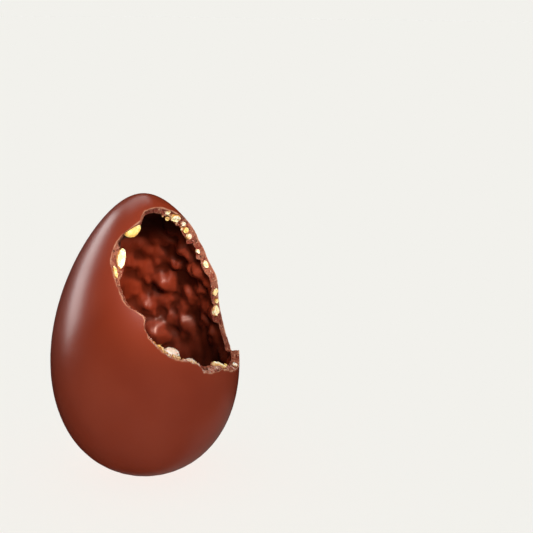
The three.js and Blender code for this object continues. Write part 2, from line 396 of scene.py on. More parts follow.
@dataclass(frozen=True)
class NutPlace:
    """A nut with its middle and its three axes."""

    nut: Nut
    centre: Array
    axis_long: Array
    axis_wide: Array
    facing: Array

    def local(self, points: Array) -> Array:
        """Points (..., 3) along the nut's axes, in half lengths of the nut."""
        axes = np.stack([self.axis_long, self.axis_wide, self.facing], axis=-1)
        return (points - self.centre) @ axes / self.halves

    @property
    def halves(self) -> Array:
        """Half the nut's length, width and thickness."""
        return np.array([self.nut.long, self.nut.wide, self.nut.thick]) / 2


BROKEN_NUTS: tuple[Nut, ...] = (
    Nut(129.8, 6.1, 13, 8, 9, 0, 3.2, NutKind.GOLDEN, whole=True),
    Nut(146.2, 8.2, 14.5, 6.4, 11, 0, 0.7, NutKind.CREAM),
    Nut(154.6, 2.7, 10, 3, 7, -4, 0.5, NutKind.YELLOW),
    Nut(80.3, 2.7, 4.4, 3.8, 6, 10, 0.4, NutKind.CREAM),
    Nut(64.2, 4, 9.8, 6.4, 10, 5, 0.8, NutKind.CREAM),
    Nut(72, 7.6, 3.6, 3.2, 5, 0, 0.6, NutKind.YELLOW),
    Nut(51.4, 3.5, 4.6, 3.6, 6, 20, 0.5, NutKind.WHITE),
    Nut(45.4, 4.9, 5.4, 4.4, 8, 0, 0.7, NutKind.YELLOW),
    Nut(39.4, 6, 5, 4.6, 8, 0, 0.4, NutKind.CREAM),
    Nut(27.5, 5.5, 4, 3.4, 5, 30, 0.3, NutKind.WHITE),
    Nut(19.2, 3.5, 6, 4.4, 8, 0, 0.5, NutKind.CREAM),
    Nut(5.6, 3.4, 6.8, 5.2, 8, 0, 0.7, NutKind.CREAM),
    Nut(2.2, 2.8, 3.8, 3.8, 6, 0, 0.5, NutKind.YELLOW),
    Nut(358.4, 5.4, 8.6, 7, 10, 0, 0.7, NutKind.CREAM),
    Nut(205, 3.4, 5, 4.4, 6, 0, 2.4, NutKind.YELLOW, whole=True),
    Nut(217.4, 5, 12.6, 8.4, 12, 0, 6, NutKind.SPECKLED, whole=True),
    Nut(238.5, 4.2, 11, 6.6, 8.4, 0, 2.4, NutKind.SPECKLED, whole=True),
    Nut(284, 4.9, 12, 3.8, 7, -36, 1.6, NutKind.CREAM),
    Nut(298, 5.4, 8.6, 3.2, 6.4, 6, 0.8, NutKind.YELLOW),
    Nut(315.5, 3, 6, 4, 5.4, 0, 0.4, NutKind.WHITE),
)


@dataclass(frozen=True)
class LumpForm:
    """How round a lump is: its foot's radius as a share of its width, and how gently it runs out."""

    spread: float
    fall: float


@dataclass(frozen=True)
class LumpField:
    """Lumps on the hollow's side, one over each nut in the wall, and the wall's thickness.

    Attributes:
        wall: Chocolate between the lumps.
        floor_extra: More chocolate where it pooled in the blunt end.
        floor_start: Polar angle from which it pooled, in degrees.
        blend: Power that heaps lumps; a higher one keeps sharper valleys.
        sunk: Share of the lumps' height that the run chocolate leaves showing.
        spacing: Least distance between two nuts.
        tries: Darts thrown for the nuts that nothing else places.
        across: Smallest and largest width of a lump.
        proud: Least and most that a lump stands into the hollow.
        coat: Chocolate over a broken nut on the hollow's side.
        margin: How much wider than its nut the lump over a broken nut is.
        seed: Seed of the darts.
        back: Lumps that face the opening: azimuth in degrees, height, width, how far they stand.
        knobs: Small nuts that ride on those lumps, in the same numbers.
        dents: Low places between them, with how deep they are.
        billow: How far the run chocolate swells, at two scales.
        lump_form: Form of the wide lumps; the next three are those of the knobs, the dents and the
            lumps over the nuts in the break.
    """

    wall: float = 5.6
    floor_extra: float = 3.0
    floor_start: float = 150.0
    blend: float = 3.5
    sunk: float = 0.6
    spacing: float = 15.5
    tries: int = 1100
    across: tuple[float, float] = (14.0, 20.0)
    proud: tuple[float, float] = (4.2, 7.6)
    coat: float = 1.3
    margin: float = 5.0
    seed: int = 20417
    back: tuple[tuple[float, float, float, float], ...] = (
        (27, 123, 20, 8), (-9, 136, 18, 7), (15, 138, 13, 5), (44, 131, 16, 6.5),
        (33, 145, 14, 5.5), (-1, 152, 14, 5.5), (8, 112, 15, 6), (13, 98, 16, 7),
        (42, 104, 17, 6.5), (37, 85, 16, 6.5), (55, 117, 15, 6), (-21, 126, 13, 5),
        (-5, 119, 14, 5.5), (-14, 86, 16, 6), (9, 75, 15, 6), (-26, 73, 13, 5.5),
        (26, 92, 13, 5), (-3, 95, 14, 5.5), (-10, 106, 13, 5), (24, 72, 15, 6),
        (61, 138, 15, 6), (24, 157, 14, 6), (6, 167, 14, 6),
    )
    knobs: tuple[tuple[float, float, float, float], ...] = (
        (27, 122, 19, 3.8), (31, 128, 8, 1.8), (23, 130, 9, 1.8), (21, 119, 11, 2.6),
        (-2, 136, 10, 3.6), (-13, 136, 9, 3.2), (15, 137, 8, 2.8), (2, 150, 11, 3.2),
        (-8, 146, 10, 3.2), (13, 155, 8, 2), (43, 124, 7, 2.4), (52, 152, 9, 2),
        (42, 147, 9, 1.8), (35, 139, 8, 2.2), (50, 137, 9, 1.6), (60, 138, 8, 1.6),
        (10, 114, 8, 1.6), (16, 106, 7.5, 2.6), (-4, 121, 12, 2), (-16, 127, 9, 1.8),
        (15, 89, 20, 4.5), (26, 98, 8, 1.8), (45, 104, 7.5, 2), (40, 101, 7.5, 2.2),
        (38, 96, 7.5, 1.8), (51, 112, 11, 2.2), (37, 81, 24, 6), (-11, 88, 8.5, 3),
        (-8, 80, 7.5, 2.8), (-19, 75, 7, 2.2), (-4, 105, 12, 2), (-6, 96, 9, 1.8),
        (35, 112, 10, 1.8), (-30, 140, 8, 2),
    )
    dents: tuple[tuple[float, float, float, float], ...] = (
        (26, 157, 10, 2.2), (19, 148, 10, 2.4), (13, 141, 9, 2.6), (11, 131, 8, 2.8),
        (15, 121, 10, 2.8), (20, 111, 10, 2.6), (23, 104, 9, 2), (21, 90, 9, 2.2),
        (38, 119, 9, 2.4), (33, 113, 9, 2.2), (1, 82, 10, 2.4), (-3, 128, 7, 1.4),
        (24, 72, 18, 3.2), (9, 75, 18, 3.2), (17, 105, 9, 2.2), (8.5, 98, 17, 2.7),
    )
    billow: tuple[float, float] = (0.35, 0.12)
    lump_form: LumpForm = LumpForm(0.72, 2.0)
    knob_form: LumpForm = LumpForm(0.56, 1.1)
    dent_form: LumpForm = LumpForm(0.6, 2.0)
    nut_form: LumpForm = LumpForm(0.58, 0.7)

    def draws(self) -> Array:
        """Numbers from a multiplicative generator, whose state is times 48271 modulo 2^31 - 1.

        Returns:
            Numbers between 0 and 1, four to a dart (darts, 4).
        """
        state, values, factor, modulus = self.seed, [], 48271, 2**31 - 1
        for _ in range(4 * self.tries):
            state = state * factor % modulus
            values.append(state / modulus)
        return np.array(values).reshape(-1, 4)

    def lumps(self, shape: EggShape, places: list[NutPlace]) -> Array:
        """All lumps as rows of x, y, z on the outer surface, width and how far they stand.

        Args:
            shape: The egg.
            places: The nuts in the break.

        Returns:
            An array with five columns.
        """
        found = [
            (*shape.point_beside(place.centre), place.nut.long + self.margin,
             max(0.0, place.nut.down + place.nut.wide / 2 + self.coat - self.wall))
            for place in places
        ]
        for azimuth, height, across, proud in self.back:
            theta = shape.polar_of_height(np.array(height))
            at = shape.point(sphere_direction(theta, np.radians(azimuth)))
            found.append((*at, across, proud))
        for up, round_, wide, high in self.draws():
            at = shape.point(sphere_direction(np.arccos(1 - 2 * up), 2 * math.pi * round_))
            gaps = np.linalg.norm(np.array(found)[:, :3] - at, axis=1)
            if gaps.min() > self.spacing:
                across = self.across[0] + (self.across[1] - self.across[0]) * wide
                proud = self.proud[0] + (self.proud[1] - self.proud[0]) * high
                found.append((*at, across, proud))
        return np.array(found)

    @staticmethod
    def placed(rows: tuple[tuple[float, ...], ...], shape: EggShape) -> Array:
        """Rows with their azimuth and height turned into a point of the egg.

        Args:
            rows: Rows of azimuth in degrees, height, width and how far they stand.
            shape: The egg.

        Returns:
            Rows of x, y, z, width and how far they stand.
        """
        azimuth, height, across, proud = np.array(rows).T
        at = shape.point(sphere_direction(shape.polar_of_height(height), np.radians(azimuth)))
        return np.column_stack([at, across, proud])


# ---- Meshes -------------------------------------------------------------------------------


class MeshMaker:
    """Turns arrays of points in millimetres into Blender objects."""

    @staticmethod
    def rings(first: Array, rows: Array, last: Array) -> tuple[Array, Array, Array]:
        """A closed surface through rings of points with a point at each end.

        Args:
            first: End point before the first ring.
            rows: Rings, as an array (rings, points, 3).
            last: End point after the last ring.

        Returns:
            Points, quads of the bands between rings, and triangles of the two ends.
        """
        count, size = rows.shape[:2]
        points = np.concatenate([first[None], rows.reshape(-1, 3), last[None]])
        here = np.arange(size)
        after = (here + 1) % size
        base = 1 + size * np.arange(count - 1)[:, None]
        quads = np.stack(
            [base + here, base + size + here, base + size + after, base + after], axis=-1
        ).reshape(-1, 4)
        final = 1 + size * (count - 1)
        ends = np.concatenate([
            np.stack([np.zeros_like(here), 1 + here, 1 + after], axis=-1),
            np.stack([final + here, np.full_like(here, len(points) - 1), final + after], axis=-1),
        ])
        return points, quads, ends

    @staticmethod
    def build(name: str, points: Array, quads: Array, triangles: Array) -> bpy.types.Object:
        """A smooth-shaded mesh object at the origin, with its faces turned outward.

        Args:
            name: Name of the object.
            points: Points in millimetres.
            quads: Four point numbers a face.
            triangles: Three point numbers a face.

        Returns:
            The object, linked to the scene.
        """
        corners = np.concatenate([
            points[quads[:, [0, 1, 2]]], points[quads[:, [0, 2, 3]]], points[triangles]
        ])
        volume = np.einsum("ij,ij->i", corners[:, 0], np.cross(corners[:, 1], corners[:, 2])).sum()
        if volume < 0:
            quads, triangles = quads[:, ::-1], triangles[:, ::-1]
        loops = np.concatenate([quads.ravel(), triangles.ravel()]).astype(np.int32)
        sizes = np.concatenate([np.full(len(quads), 4), np.full(len(triangles), 3)])
        mesh = bpy.data.meshes.new(name)
        mesh.vertices.add(len(points))
        mesh.vertices.foreach_set("co", (points * MM).ravel().astype(np.float32))
        mesh.loops.add(len(loops))
        mesh.loops.foreach_set("vertex_index", loops)
        mesh.polygons.add(len(sizes))
        starts = np.concatenate([[0], np.cumsum(sizes)[:-1]]).astype(np.int32)
        mesh.polygons.foreach_set("loop_start", starts)
        mesh.polygons.foreach_set("use_smooth", np.ones(len(sizes), dtype=bool))
        mesh.update(calc_edges=True)
        mesh.validate()
        piece = bpy.data.objects.new(name, mesh)
        bpy.context.scene.collection.objects.link(piece)
        return piece

    @staticmethod
    def attribute(piece: bpy.types.Object, name: str, values: Array) -> None:
        """Stores one number a point under a name that materials read."""
        layer = piece.data.attributes.new(name, "FLOAT", "POINT")
        layer.data.foreach_set("value", values.astype(np.float32))


# ---- Materials ----------------------------------------------------------------------------

Colour = tuple[float, float, float, float]


def srgb(red: float, green: float, blue: float) -> Colour:
    """Linear colour of display values from 0 to 255."""
    values = np.array([red, green, blue]) / 255
    linear = np.where(values <= 0.04045, values / 12.92, ((values + 0.055) / 1.055) ** 2.4)
    return (*linear.tolist(), 1.0)


def wire(tree: bpy.types.NodeTree,
         *pairs: tuple[bpy.types.NodeSocket, bpy.types.NodeSocket]) -> None:
    """Links pairs of an output and the input that it feeds."""
    for source, target in pairs:
        tree.links.new(source, target)


class NodeBook:
    """The shader node groups that several materials share, each built once."""

    def __init__(self) -> None:
        """Builds the groups."""
        self.mottle = self._mottle()
        self.grain = self._grain()

    @staticmethod
    def _sockets(group: bpy.types.NodeTree, inputs: dict[str, float],
                 outputs: dict[str, str]) -> tuple[bpy.types.Node, bpy.types.Node]:
        """Gives a group its named sockets.

        Args:
            group: The group.
            inputs: Names of number inputs with their defaults.
            outputs: Names of outputs with their socket types.

        Returns:
            The group's input and output nodes.
        """
        for name, value in inputs.items():
            socket = group.interface.new_socket(name, in_out="INPUT", socket_type="NodeSocketFloat")
            socket.default_value = value
        for name, kind in outputs.items():
            group.interface.new_socket(name, in_out="OUTPUT", socket_type=kind)
        return group.nodes.new("NodeGroupInput"), group.nodes.new("NodeGroupOutput")

    def _mottle(self) -> bpy.types.NodeTree:
        """Mask from 0 to 1 of soft patches: noise in object space between two thresholds.

        Returns:
            The group.
        """
        group = bpy.data.node_groups.new("mottle", "ShaderNodeTree")
        given, result = self._sockets(
            group,
            {"Scale": 60.0, "Detail": 3.0, "Low": 0.4, "High": 0.6},
            {"Mask": "NodeSocketFloat"},
        )
        place = group.nodes.new("ShaderNodeTexCoord")
        noise = group.nodes.new("ShaderNodeTexNoise")
        span = group.nodes.new("ShaderNodeMapRange")
        span.interpolation_type = "SMOOTHSTEP"
        wire(
            group,
            (place.outputs["Object"], noise.inputs["Vector"]),
            (given.outputs["Scale"], noise.inputs["Scale"]),
            (given.outputs["Detail"], noise.inputs["Detail"]),
            (noise.outputs["Fac"], span.inputs["Value"]),
            (given.outputs["Low"], span.inputs["From Min"]),
            (given.outputs["High"], span.inputs["From Max"]),
            (span.outputs["Result"], result.inputs["Mask"]),
        )
        return group

    def _grain(self) -> bpy.types.NodeTree:
        """Normal of a fine relief: noise and small cells in object space.

        Returns:
            The group.
        """
        group = bpy.data.node_groups.new("grain", "ShaderNodeTree")
        given, result = self._sockets(
            group,
            {"Scale": 400.0, "Cells": 0.0, "Strength": 0.3, "Depth": 0.0002},
            {"Normal": "NodeSocketVector"},
        )
        place = group.nodes.new("ShaderNodeTexCoord")
        noise = group.nodes.new("ShaderNodeTexNoise")
        noise.inputs["Detail"].default_value = 4.0
        cells = group.nodes.new("ShaderNodeTexVoronoi")
        mix = group.nodes.new("ShaderNodeMix")
        mix.data_type = "FLOAT"
        bump = group.nodes.new("ShaderNodeBump")
        wire(
            group,
            (place.outputs["Object"], noise.inputs["Vector"]),
            (place.outputs["Object"], cells.inputs["Vector"]),
            (given.outputs["Scale"], noise.inputs["Scale"]),
            (given.outputs["Scale"], cells.inputs["Scale"]),
            (given.outputs["Cells"], mix.inputs["Factor"]),
            (noise.outputs["Fac"], mix.inputs["A"]),
            (cells.outputs["Distance"], mix.inputs["B"]),
            (mix.outputs["Result"], bump.inputs["Height"]),
            (given.outputs["Strength"], bump.inputs["Strength"]),
            (given.outputs["Depth"], bump.inputs["Distance"]),
            (bump.outputs["Normal"], result.inputs["Normal"]),
        )
        return group


class Surface:
    """A material being wired: a Principled surface with shared groups plugged into it."""

    def __init__(self, name: str, book: NodeBook) -> None:
        """Makes an empty material with its Principled node.

        Args:
            name: Name of the material.
            book: The shared groups.
        """
        self.material = bpy.data.materials.new(name)
        self.material.use_nodes = True
        self.tree = self.material.node_tree
        self.book = book
        self.shader = self.tree.nodes["Principled BSDF"]

    def mask(self, **settings: float) -> bpy.types.NodeSocket:
        """A patch mask with the given Scale, Detail, Low and High."""
        return self._group(self.book.mottle, settings).outputs["Mask"]

    def relief(self, **settings: float) -> None:
        """Plugs a fine relief with the given Scale, Cells, Strength and Depth into the normal."""
        normal = self._group(self.book.grain, settings).outputs["Normal"]
        self.tree.links.new(normal, self.shader.inputs["Normal"])

    def _group(self, group: bpy.types.NodeTree, settings: dict[str, float]) -> bpy.types.Node:
        """A node of a shared group with its number inputs set.

        Args:
            group: The group.
            settings: Values by the inputs' names.

        Returns:
            The node.
        """
        node = self.tree.nodes.new("ShaderNodeGroup")
        node.node_tree = group
        for name, value in settings.items():
            node.inputs[name].default_value = value
        return node

    def stored(self, name: str) -> bpy.types.NodeSocket:
        """The piece's own stored number of a name."""
        node = self.tree.nodes.new("ShaderNodeAttribute")
        node.attribute_name = name
        return node.outputs["Fac"]

    def mix(self, share: bpy.types.NodeSocket, a: bpy.types.NodeSocket | Colour,
            b: bpy.types.NodeSocket | Colour) -> bpy.types.NodeSocket:
        """Colour from a to b by a share.

        Args:
            share: Share of b.
            a: Colour or socket at 0.
            b: Colour or socket at 1.

        Returns:
            The mixed colour's socket.
        """
        node = self.tree.nodes.new("ShaderNodeMix")
        node.data_type = "RGBA"
        factor = next(s for s in node.inputs if s.name == "Factor" and s.type == "VALUE")
        first, second = (
            next(s for s in node.inputs if s.name == name and s.type == "RGBA") for name in "AB"
        )
        self.tree.links.new(share, factor)
        for socket, value in ((first, a), (second, b)):
            if isinstance(value, tuple):
                socket.default_value = value
            else:
                self.tree.links.new(value, socket)
        return next(s for s in node.outputs if s.type == "RGBA")

    def span(self, share: bpy.types.NodeSocket, low: float, high: float) -> bpy.types.NodeSocket:
        """Number from low to high by a share.

        Args:
            share: Share of the way.
            low: Number at 0.
            high: Number at 1.

        Returns:
            The number's socket.
        """
        node = self.tree.nodes.new("ShaderNodeMapRange")
        node.inputs["To Min"].default_value = low
        node.inputs["To Max"].default_value = high
        self.tree.links.new(share, node.inputs["Value"])
        return node.outputs["Result"]

    def plug(self, socket: bpy.types.NodeSocket, name: str) -> None:
        """Links a socket to an input of the Principled node."""
        self.tree.links.new(socket, self.shader.inputs[name])

    def set(self, **values: float | Colour) -> None:
        """Sets inputs of the Principled node; an underscore stands for a space."""
        for name, value in values.items():
            self.shader.inputs[name.replace("_", " ")].default_value = value


@dataclass(frozen=True)
class MouldedChocolate:
    """The smooth outer side: an even red brown with faint cloudy patches and a satin gloss."""

    deep: Colour = srgb(122, 43, 22)
    light: Colour = srgb(131, 50, 28)
    # Pale highlight painted along the broken edge.
    edge_highlight: Colour = srgb(190, 135, 105)

    def make(self, book: NodeBook) -> bpy.types.Material:
        """The material.

        Args:
            book: The shared groups.

        Returns:
            The material.
        """
        surface = Surface("chocolate_moulded", book)
        clouds = surface.mask(Scale=18, Detail=2, Low=0.3, High=0.7)
        colour = surface.mix(clouds, self.deep, self.light)
        # Painted highlight: pale along the broken edge, by the stored share.
        colour = surface.mix(surface.stored("edge_highlight"), colour, self.edge_highlight)
        surface.plug(colour, "Base Color")
        wiped = surface.mask(Scale=40, Detail=3, Low=0.35, High=0.7)
        surface.plug(surface.span(wiped, 0.29, 0.33), "Roughness")
        surface.set(Specular_IOR_Level=0.5)
        surface.relief(Scale=260, Cells=0, Strength=0.08, Depth=0.0003)
        return surface.material


@dataclass(frozen=True)
class BrokenChocolate:
    """The broken face: dull and grainy, paler than the skin, with dark pits and pale crumbs."""

    matrix: Colour = srgb(154, 92, 70)
    patch: Colour = srgb(118, 52, 38)
    dark: Colour = srgb(84, 26, 16)
    # Painted shade at the bottom of the face's deeper pits and crevices.
    pit: Colour = srgb(34, 8, 5)
    pale: Colour = srgb(206, 156, 128)
    # Pale highlight painted along the top of the face, by the edge.
    edge_highlight: Colour = srgb(206, 158, 132)

    def make(self, book: NodeBook) -> bpy.types.Material:
        """The material.

        Args:
            book: The shared groups.

        Returns:
            The material.
        """
        surface = Surface("chocolate_broken", book)
        pits = surface.mask(Scale=480, Detail=3, Low=0.55, High=0.7)
        crumbs = surface.mask(Scale=700, Detail=3, Low=0.6, High=0.72)
        patches = surface.mask(Scale=170, Detail=3, Low=0.42, High=0.62)
        colour = surface.mix(patches, self.matrix, self.patch)
        colour = surface.mix(pits, colour, self.dark)
        colour = surface.mix(crumbs, colour, self.pale)
        # Painted shade in the face's deeper pits, by the stored shade.
        colour = surface.mix(surface.stored("shade"), colour, self.pit)
        # Painted highlight along the edge.
        colour = surface.mix(surface.stored("edge_highlight"), colour, self.edge_highlight)
        surface.plug(colour, "Base Color")
        surface.set(Roughness=0.62, Specular_IOR_Level=0.4)
        surface.relief(Scale=420, Cells=0.2, Strength=0.5, Depth=0.0005)
        return surface.material


@dataclass(frozen=True)
class RunChocolate:
    """The hollow's side, set as it ran over the nuts: a soft warm sheen that fades where shade is
    painted.
    """

    deep: Colour = srgb(112, 38, 19)
    light: Colour = srgb(128, 47, 26)
    # Colour of the painted shade in the valleys, under the tip and in the corner.
    shade: Colour = srgb(26, 9, 5)
    sheen: Colour = (1.0, 0.66, 0.54, 1.0)

    def make(self, book: NodeBook) -> bpy.types.Material:
        """The material.

        Args:
            book: The shared groups.

        Returns:
            The material.
        """
        surface = Surface("chocolate_run", book)
        clouds = surface.mask(Scale=45, Detail=2, Low=0.3, High=0.7)
        colour = surface.mix(clouds, self.deep, self.light)
        # Painted shade: darker colour and less gloss in the valleys, under the tip and in the
        # corner.
        shade = surface.stored("shade")
        surface.plug(surface.mix(shade, colour, self.shade), "Base Color")
        surface.plug(surface.span(shade, 0.9, 0.0), "Specular IOR Level")
        dull = surface.mask(Scale=90, Detail=3, Low=0.35, High=0.7)
        surface.plug(surface.span(dull, 0.44, 0.5), "Roughness")
        surface.set(Specular_Tint=self.sheen)
        surface.relief(Scale=300, Cells=0.1, Strength=0.12, Depth=0.0004)
        return surface.material


@dataclass(frozen=True)
class NutFlesh:
    """A hazelnut: flesh where it snapped, a darker rim, and fine speckles."""

    name: str
    flesh: Colour
    shade: Colour
    rim: Colour
    speck: Colour

    def make(self, book: NodeBook) -> bpy.types.Material:
        """The material.

        Args:
            book: The shared groups.

        Returns:
            The material.
        """
        surface = Surface(self.name, book)
        cloud = surface.mask(Scale=240, Detail=3, Low=0.38, High=0.62)
        colour = surface.mix(cloud, self.flesh, self.shade)
        colour = surface.mix(surface.stored("rim"), colour, self.rim)
        specks = surface.mask(Scale=900, Detail=2, Low=0.63, High=0.7)
        surface.plug(surface.mix(specks, colour, self.speck), "Base Color")
        surface.set(Roughness=0.5, Specular_IOR_Level=0.4, Subsurface_Weight=0.15,
                    Subsurface_Scale=0.002)
        surface.relief(Scale=500, Cells=0.3, Strength=0.35, Depth=0.0004)
        return surface.material


NUT_FINISHES: dict[NutKind, NutFlesh] = {
    NutKind.CREAM: NutFlesh("nut_cream", srgb(255, 248, 222), srgb(250, 228, 172),
                            srgb(214, 160, 88), srgb(222, 186, 128)),
    NutKind.YELLOW: NutFlesh("nut_yellow", srgb(253, 238, 178), srgb(240, 206, 122),
                             srgb(200, 132, 62), srgb(190, 130, 70)),
    NutKind.WHITE: NutFlesh("nut_white", srgb(255, 252, 238), srgb(250, 236, 208),
                            srgb(222, 176, 120), srgb(216, 188, 148)),
    NutKind.GOLDEN: NutFlesh("nut_golden", srgb(255, 240, 175), srgb(246, 214, 112),
                             srgb(232, 178, 84), srgb(190, 130, 60)),
    NutKind.SPECKLED: NutFlesh("nut_speckled", srgb(238, 232, 226), srgb(216, 202, 192),
                               srgb(204, 176, 150), srgb(140, 92, 66)),
    NutKind.SPLIT: NutFlesh("nut_split", srgb(246, 226, 178), srgb(196, 140, 84),
                            srgb(150, 82, 40), srgb(120, 62, 30)),
    NutKind.FLAKE: NutFlesh("chocolate_flake", srgb(220, 184, 168), srgb(184, 132, 114),
                            srgb(146, 80, 62), srgb(206, 164, 148)),
}


# ---- Pieces -------------------------------------------------------------------------------


@dataclass
class ChocolateWall:
    """The egg's wall: skin, broken face and lumpy hollow as one closed surface.

    Attributes:
        shape: The egg.
        cut: The broken edge.
        field: The lumps.
        places: The nuts in the break.
        stations: Points round every ring.
        skin_rows: Rings from the far side of the skin to the edge.
        face_rows: Rings down the broken face.
        hollow_rows: Rings from the face to the far side of the hollow.
        rough: How far the broken face strays at the coarse and the fine scale.
        jag: How far the outer edge strays.
        jag_seed: Seed of that.
        skin_crowding: Power that crowds the skin's rings towards the edge.
        hollow_crowding: The same for the hollow's rings.
        edge_highlight_width: Width of the pale bruised line along the edge.
        calm_edge: Share of the lumps' height that is left at the break.
        calm_reach: Angle from the break over which the lumps rise to their full height.
        soft_passes: Passes in which the creases between the lumps run soft.
        window: Half width in rings and stations of the window that finds valleys.
        ceiling: Height at which the shade painted under the tip starts, and over which it grows.
        corner: Corner of the hollow with painted shade: its middle and how far it reaches.
        darks: How dark the painted shade in the valleys, the ceiling and the corner gets.
        pits: Pits with painted shade: clock angle, distance down the face and how far they reach.
        crease: Angle between two faces from which their edge shows sharp, in degrees.
    """

    shape: EggShape
    cut: BrokenEdge
    field: LumpField
    places: list[NutPlace]
    stations: int = 448
    skin_rows: int = 46
    face_rows: int = 22
    hollow_rows: int = 128
    rough: tuple[float, float] = (0.45, 0.22)
    jag: float = 0.22
    jag_seed: int = 7
    skin_crowding: float = 1.9
    hollow_crowding: float = 1.06
    # edge_highlight_width: Width of the pale line painted along the edge as a highlight.
    edge_highlight_width: float = 0.36
    calm_edge: float = 0.2
    calm_reach: float = 9.0
    soft_passes: int = 4
    window: int = 10
    ceiling: tuple[float, float] = (150.0, 14.0)
    corner: tuple[float, float, float, float] = (48.0, -14.0, 64.0, 30.0)
    darks: tuple[float, float, float] = (0.65, 0.88, 0.9)
    pits: tuple[tuple[float, float, float], ...] = (
        (138, 5.5, 3.2), (134, 8, 2.5), (258, 3.2, 1.3), (264, 4.2, 1.4), (271, 4.6, 1.2),
        (287, 4.4, 1), (33, 2.5, 1.1), (24, 5, 1.2),
    )
    crease: float = 48.0
    lumps: Array = field(init=False)
    knobs: Array = field(init=False)
    dents: Array = field(init=False)
    warp: list[WaveNoise] = field(init=False)
    swell: tuple[WaveNoise, WaveNoise] = field(init=False)
    coarse: WaveNoise = field(init=False)
    fine: WaveNoise = field(init=False)

    def __post_init__(self) -> None:
        """Lays out the lumps and the noises."""
        self.lumps = self.field.lumps(self.shape, self.places)
        self.knobs = self.field.placed(self.field.knobs, self.shape)
        self.dents = self.field.placed(self.field.dents, self.shape)
        self.warp = [WaveNoise(11, 30 + axis) for axis in range(3)]
        self.swell = WaveNoise(13, 44), WaveNoise(6, 45)
        self.coarse = WaveNoise(3.4, 42)
        self.fine = WaveNoise(1.5, 43)

    def thickness(self, dirs: Array, calm: Array) -> Array:
        """Wall thickness under directions of the skin.

        It is the wall, the pooled floor, the heap of wide lumps, the heap of knobs on them less
        the dents, and a faint swell, looked up a little aside so that no two lumps are alike. Near
        the break the wall calms down to its plain thickness, but for the lumps over the nuts there.

        Args:
            dirs: Unit directions (..., 3).
            calm: How much of the lumps is left, from 0 to 1.

        Returns:
            Thicknesses.
        """
        points = self.shape.point(dirs)
        aside = points + 1.0 * np.stack([noise(points) for noise in self.warp], axis=-1)
        theta = np.arccos(np.clip(dirs[..., 2], -1, 1))
        start = math.radians(self.field.floor_start)
        pooled = self.field.floor_extra * smoothstep((theta - start) / (math.pi - start))
        swell = sum(high * noise(points) for high, noise in zip(self.field.billow, self.swell))
        broken = len(self.places)
        lumps = (self.field.sunk * self._heap(aside, self.lumps[broken:], self.field.lump_form)
                 + self._heap(aside, self.knobs, self.field.knob_form)
                 - self._heap(aside, self.dents, self.field.dent_form))
        over_nuts = self._heap(aside, self.lumps[:broken], self.field.nut_form)
        return self.field.wall + pooled + np.maximum(lumps * calm, over_nuts) + swell * calm

    def _settled(self, points: Array) -> Array:
        """The hollow's grid with its creases run soft.

        Every pass moves each point half way to the mean of its four neighbours; the ring at the
        break and the last ring stay where they are.

        Args:
            points: Points of the hollow (rings, stations, 3).

        Returns:
            The settled points.
        """
        points = points.copy()
        for _ in range(self.soft_passes):
            across = np.roll(points, 1, axis=1) + np.roll(points, -1, axis=1)
            mean = (across[1:-1] + points[:-2] + points[2:]) / 4
            points[1:-1] = (points[1:-1] + mean) / 2
        return points

    def _painted_shade(self, points: Array) -> Array:
        """How much shade is painted on the hollow's side, from 0 to 1.

        Shade is painted into the valleys, under the tip and into the corner behind the low end of
        the opening. A valley's depth is how much further a point is from the egg's middle than the
        mean of a window round it, in millimetres up to one.

        Args:
            points: Points of the hollow (rings, stations, 3).

        Returns:
            Shares (rings, stations).
        """
        centre = np.array([0.0, 0.0, 0.5 * self.shape.height])
        length_to_width = 1.5
        away = np.linalg.norm((points - centre) / (1, 1, length_to_width), axis=-1)
        window = self.window
        padded = np.pad(away, ((window, window), (0, 0)), mode="edge")
        padded = np.concatenate([padded[:, -window:], padded, padded[:, :window]], axis=1)
        total = np.pad(padded.cumsum(axis=0).cumsum(axis=1), ((1, 0), (1, 0)))
        span = 2 * window + 1
        mean = (total[span:, span:] - total[:-span, span:] - total[span:, :-span]
                + total[:-span, :-span]) / span**2
        valley = np.clip(away - mean, 0, 1)
        start, rise = self.ceiling
        ceiling = smoothstep((points[..., 2] - start) / rise)
        x, y, z, reach = self.corner
        corner = np.exp(-(np.linalg.norm(points - (x, y, z), axis=-1) / reach) ** 2)
        low, high, far = self.darks
        return 1 - (1 - low * valley) * (1 - high * ceiling) * (1 - far * corner)

    def _pit_shade(self, points: Array) -> Array:
        """Shade painted on the broken face: 1 at the bottom of each pit, less by exp(-(d / r)^2).

        Args:
            points: Points of the face (..., 3).

        Returns:
            Shares.
        """
        shade = np.zeros(points.shape[:-1])
        for clock, down, reach in self.pits:
            frame = FaceFrame.at(self.shape, self.cut, *self.cut.straight(clock))
            away = np.linalg.norm(points - frame.edge - frame.slope * down, axis=-1)
            shade = np.maximum(shade, np.exp(-(away / reach) ** 2))
        return shade

    def _heap(self, points: Array, lumps: Array, form: LumpForm) -> Array:
        """Height of round lumps heaped together.

        Each lump is proud * (1 - a^2)^fall with a the distance from it over spread of its width;
        the heap is (sum of heights^blend)^(1/blend).

        Args:
            points: Points of the skin (..., 3).
            lumps: Rows of x, y, z, width and how far they stand.
            form: The lumps' form.

        Returns:
            Heights.
        """
        total = np.zeros(points.shape[:-1])
        for x, y, z, across, proud in lumps:
            away = np.linalg.norm(points - (x, y, z), axis=-1) / (form.spread * across)
            total += (proud * np.clip(1 - away**2, 0, None) ** form.fall) ** self.field.blend
        return total ** (1 / self.field.blend)

    def inside(self, dirs: Array, calm: Array) -> Array:
        """Points of the hollow's side: the skin's, moved in by the thickness along its normal.

        Args:
            dirs: Unit directions (..., 3).
            calm: How much of the lumps is left, from 0 to 1.

        Returns:
            Points (..., 3), none lower than half the wall's thickness.
        """
        thick = self.thickness(dirs, calm)[..., None]
        points = self.shape.point(dirs) - self.shape.normal(dirs) * thick
        points[..., 2] = np.maximum(points[..., 2], self.field.wall / 2)
        return points

